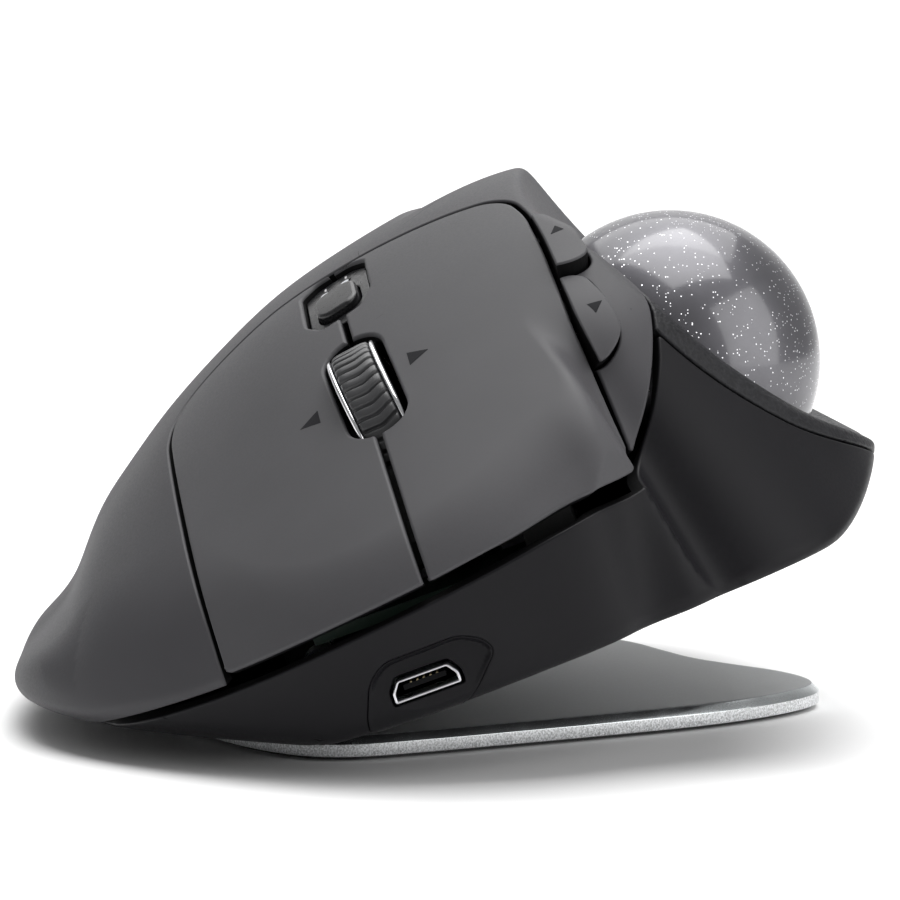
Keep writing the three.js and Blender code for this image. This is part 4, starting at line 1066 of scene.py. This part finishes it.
def tyre():
    """Rubber tyre with shallow wavy grooves across it."""
    n = RIBS * RIB_STEPS
    angles = 2 * math.pi * np.arange(n) / n
    across = np.linspace(-1, 1, 25) * (TYRE_HALF - 0.25)
    loops = []
    for x in across:
        wave = 0.12 * soft_ramp(0.2 - x) + 0.42 * soft_ramp(x - 0.2)
        phase = (angles * RIBS / (2 * math.pi) - wave / (2 * math.pi * WHEEL_RADIUS / RIBS)) % 1
        from_groove = np.abs(phase - 0.5) * 2
        groove = 0.4 * (1 - smooth_step(from_groove / 0.4)) + 0.06 * (1 - smooth_step(from_groove))
        shoulder = 0.35 * (np.abs(x) / TYRE_HALF) ** 6
        loops.append((x, WHEEL_RADIUS - groove - shoulder))
    side = WHEEL_RADIUS - 0.55
    loops += [(TYRE_HALF, side), (TYRE_HALF, BORE), (0, BORE), (-TYRE_HALF, BORE), (-TYRE_HALF, side)]
    rings = [wheel_ring(x, radius, angles) for x, radius in loops]
    loft("ribbed_tyre", rings, "wheel_body", tyre_finish, ["wheel_tyre"])


def rim(name, sign, replaced):
    """Bright ring with softly rounded edges beside the tyre."""
    angles = 2 * math.pi * np.arange(240) / 240
    section = [(2.4, BORE), (2.4, 11.1), (2.45, 11.25), (2.55, 11.3), (2.7, 11.28), (2.84, 11.18),
               (2.92, 11.02), (2.95, 10.8), (2.95, BORE)]
    rings = [wheel_ring(sign * x, radius, angles) for x, radius in section[::sign]]
    loft(name, rings, "wheel_body", chrome_finish, [replaced])


tyre()
rim("wheel_band_left", 1, "wheel_rim_left")
rim("wheel_band_right", -1, "wheel_rim_right")


# ---- ball ----
def thumb_ball(cuts=72):
    """A ball made of six curved patches, so that it has no poles."""
    line = np.tan(np.linspace(-math.pi / 4, math.pi / 4, cuts + 1))
    u, v = (g.ravel() for g in np.meshgrid(line, line, indexing="ij"))
    one = np.ones_like(u)
    points, faces = [], []
    for axis in range(3):
        for sign in (1, -1):
            patch = np.stack([sign * one, u, v], 1)
            start = sum(len(p) for p in points)
            points.append(np.roll(patch, axis, axis=1))
            for i in range(cuts):
                for j in range(cuts):
                    a = start + i * (cuts + 1) + j
                    quad = (a, a + cuts + 1, a + cuts + 2, a + 1)
                    faces.append(quad if sign > 0 else quad[::-1])
    points = BALL + unit(np.concatenate(points)) * BALL_RADIUS
    points, place = np.unique(np.round(points, 5), axis=0, return_inverse=True)
    make_object("thumb_ball", points, place.ravel()[np.array(faces)], "ball", ball_finish, ["trackball"])


thumb_ball()


# ---- plate ----
def plate():
    """Painted plate with a polished bevel, its outline taken from the CAD plate; its sides take a paler copy
    of the paint, which is painted light.
    """
    corners = np.array([v.co for v in nodes["base_plate"].data.vertices]) * 1000
    low, high = corners[:, 2].min(), corners[:, 2].max()
    middle_level = corners[(corners[:, 2] > low + 0.5) & (corners[:, 2] < high - 0.2)]
    centre = (middle_level.min(0) + middle_level.max(0))[:2] / 2
    ring = np.unique(np.round(middle_level[:, :2], 3), axis=0)
    angles = np.arctan2(*(ring - centre).T[::-1])
    ring = ring[np.argsort(angles)]
    fine = []
    for i in range(len(ring)):
        p = [ring[(i + k - 1) % len(ring)] for k in range(4)]
        for t in np.arange(5) / 5:
            fine.append(0.5 * (2 * p[1] + (p[2] - p[0]) * t + (2 * p[0] - 5 * p[1] + 4 * p[2] - p[3]) * t ** 2
                               + (3 * p[1] - p[0] - 3 * p[2] + p[3]) * t ** 3))
    fine = np.array(fine)
    # each level's height, how far in it is, and the finish of the band above it
    # Band 2, the sides, uses the paler copy of the plate's paint: painted light.
    levels = [(low, 0.3, 2), (low + 0.1, 0.08, 2), (low + 0.3, 0, 2), (high - 0.92, 0, 1),
              (high - 0.86, 0.03, 1), (high - 0.05, 0.86, 0), (high, 0.95, 0), (high, 1.6, 0)]
    n, last = len(fine), len(levels) - 1
    points, faces, bands = [], [], []
    for k, (z, inset, band) in enumerate(levels):
        points.append(np.column_stack([grown(fine, -inset), np.full(n, z)]))
        if k == last:
            break
        for i in range(n):
            a, b = k * n + i, k * n + (i + 1) % n
            faces.append((a, b, b + n, a + n))
            bands.append(band)
    faces += [tuple(reversed(range(n))), tuple(range(last * n, len(levels) * n))]
    bands += [0, 0]
    obj = smooth_object("metal_plate", (np.concatenate(points) * 0.001).tolist(), faces)
    mesh = obj.data
    for finish in (plate_finish, edge_finish, painted_light_plate_wall_finish):
        mesh.materials.append(finish)
    mesh.polygons.foreach_set("material_index", bands)
    mesh.set_sharp_from_angle(angle=math.radians(30))
    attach(obj, "base")
    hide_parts("base_plate")


plate()


# ---- floor, light and camera ----
def area_light(name, place, target, size, power, size_y=None):
    data = bpy.data.lights.new(name, "AREA")
    data.shape = "RECTANGLE"
    data.size, data.size_y = size, size_y or size
    data.energy = power
    obj = add_object(name, data)
    obj.location = place
    obj.rotation_euler = (Vector(target) - Vector(place)).to_track_quat("-Z", "Y").to_euler()


def backdrop(floor_height):
    """Pale floor that curves up into a pale wall well behind the object."""
    bend, start, top = 0.6, 1.6, 2.4
    profile = [(-3.0, 0.0), (start, 0.0)]
    for i in range(1, 25):
        angle = math.pi / 2 * i / 24
        profile.append((start + bend * math.sin(angle), bend * (1 - math.cos(angle))))
    profile.append((start + bend, top))
    points = [(x, y, floor_height - 0.0001 + z) for y, z in profile for x in (-3.0, 3.0)]
    faces = [(2 * i, 2 * i + 1, 2 * i + 3, 2 * i + 2) for i in range(len(profile) - 1)]
    obj = smooth_object("floor", points, faces)
    colour = (0.93, 0.93, 0.93)
    material, tree, shader = new_finish("floor", colour, 0.8, Specular_IOR_Level=0.1)
    faint = noise(tree, millimetres(tree), 60, 2)
    feed(tree, shader, tint(tree, faint, colour, 0.005))
    obj.data.materials.append(material)
    obj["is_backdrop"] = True


backdrop(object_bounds()[0].z)
area_light("overhead_softbox", (0.1, 0.06, 0.95), (0.02, 0.0, 0), 0.9, 9.2, 0.8)
area_light("right_softbox", (1.1, -0.45, 0.5), (0.04, 0.0, 0.03), 1.1, 9)
area_light("backdrop_light", (0, 1.2, 1.4), (0, 1.2, 0), 1.8, 22)

world = bpy.data.worlds.new("studio")
world.use_nodes = True
sky = world.node_tree.nodes["Background"]
sky.inputs["Color"].default_value = (1, 1, 1, 1)
sky.inputs["Strength"].default_value = 0.3
bpy.context.scene.world = world
bpy.context.scene.view_settings.view_transform = "Standard"

CAMERA_DOWN = 6  # degrees below level that the camera looks
camera_data = bpy.data.cameras.new("camera")
camera_data.sensor_width, camera_data.lens = 36, 264.9
camera_data.clip_start, camera_data.clip_end = 0.01, 20
camera = add_object("camera", camera_data)
camera.location = (0.013716, -0.746957, 0.109999)
camera.rotation_euler = Euler((math.radians(90 - CAMERA_DOWN), 0, 0))
bpy.context.scene.camera = camera
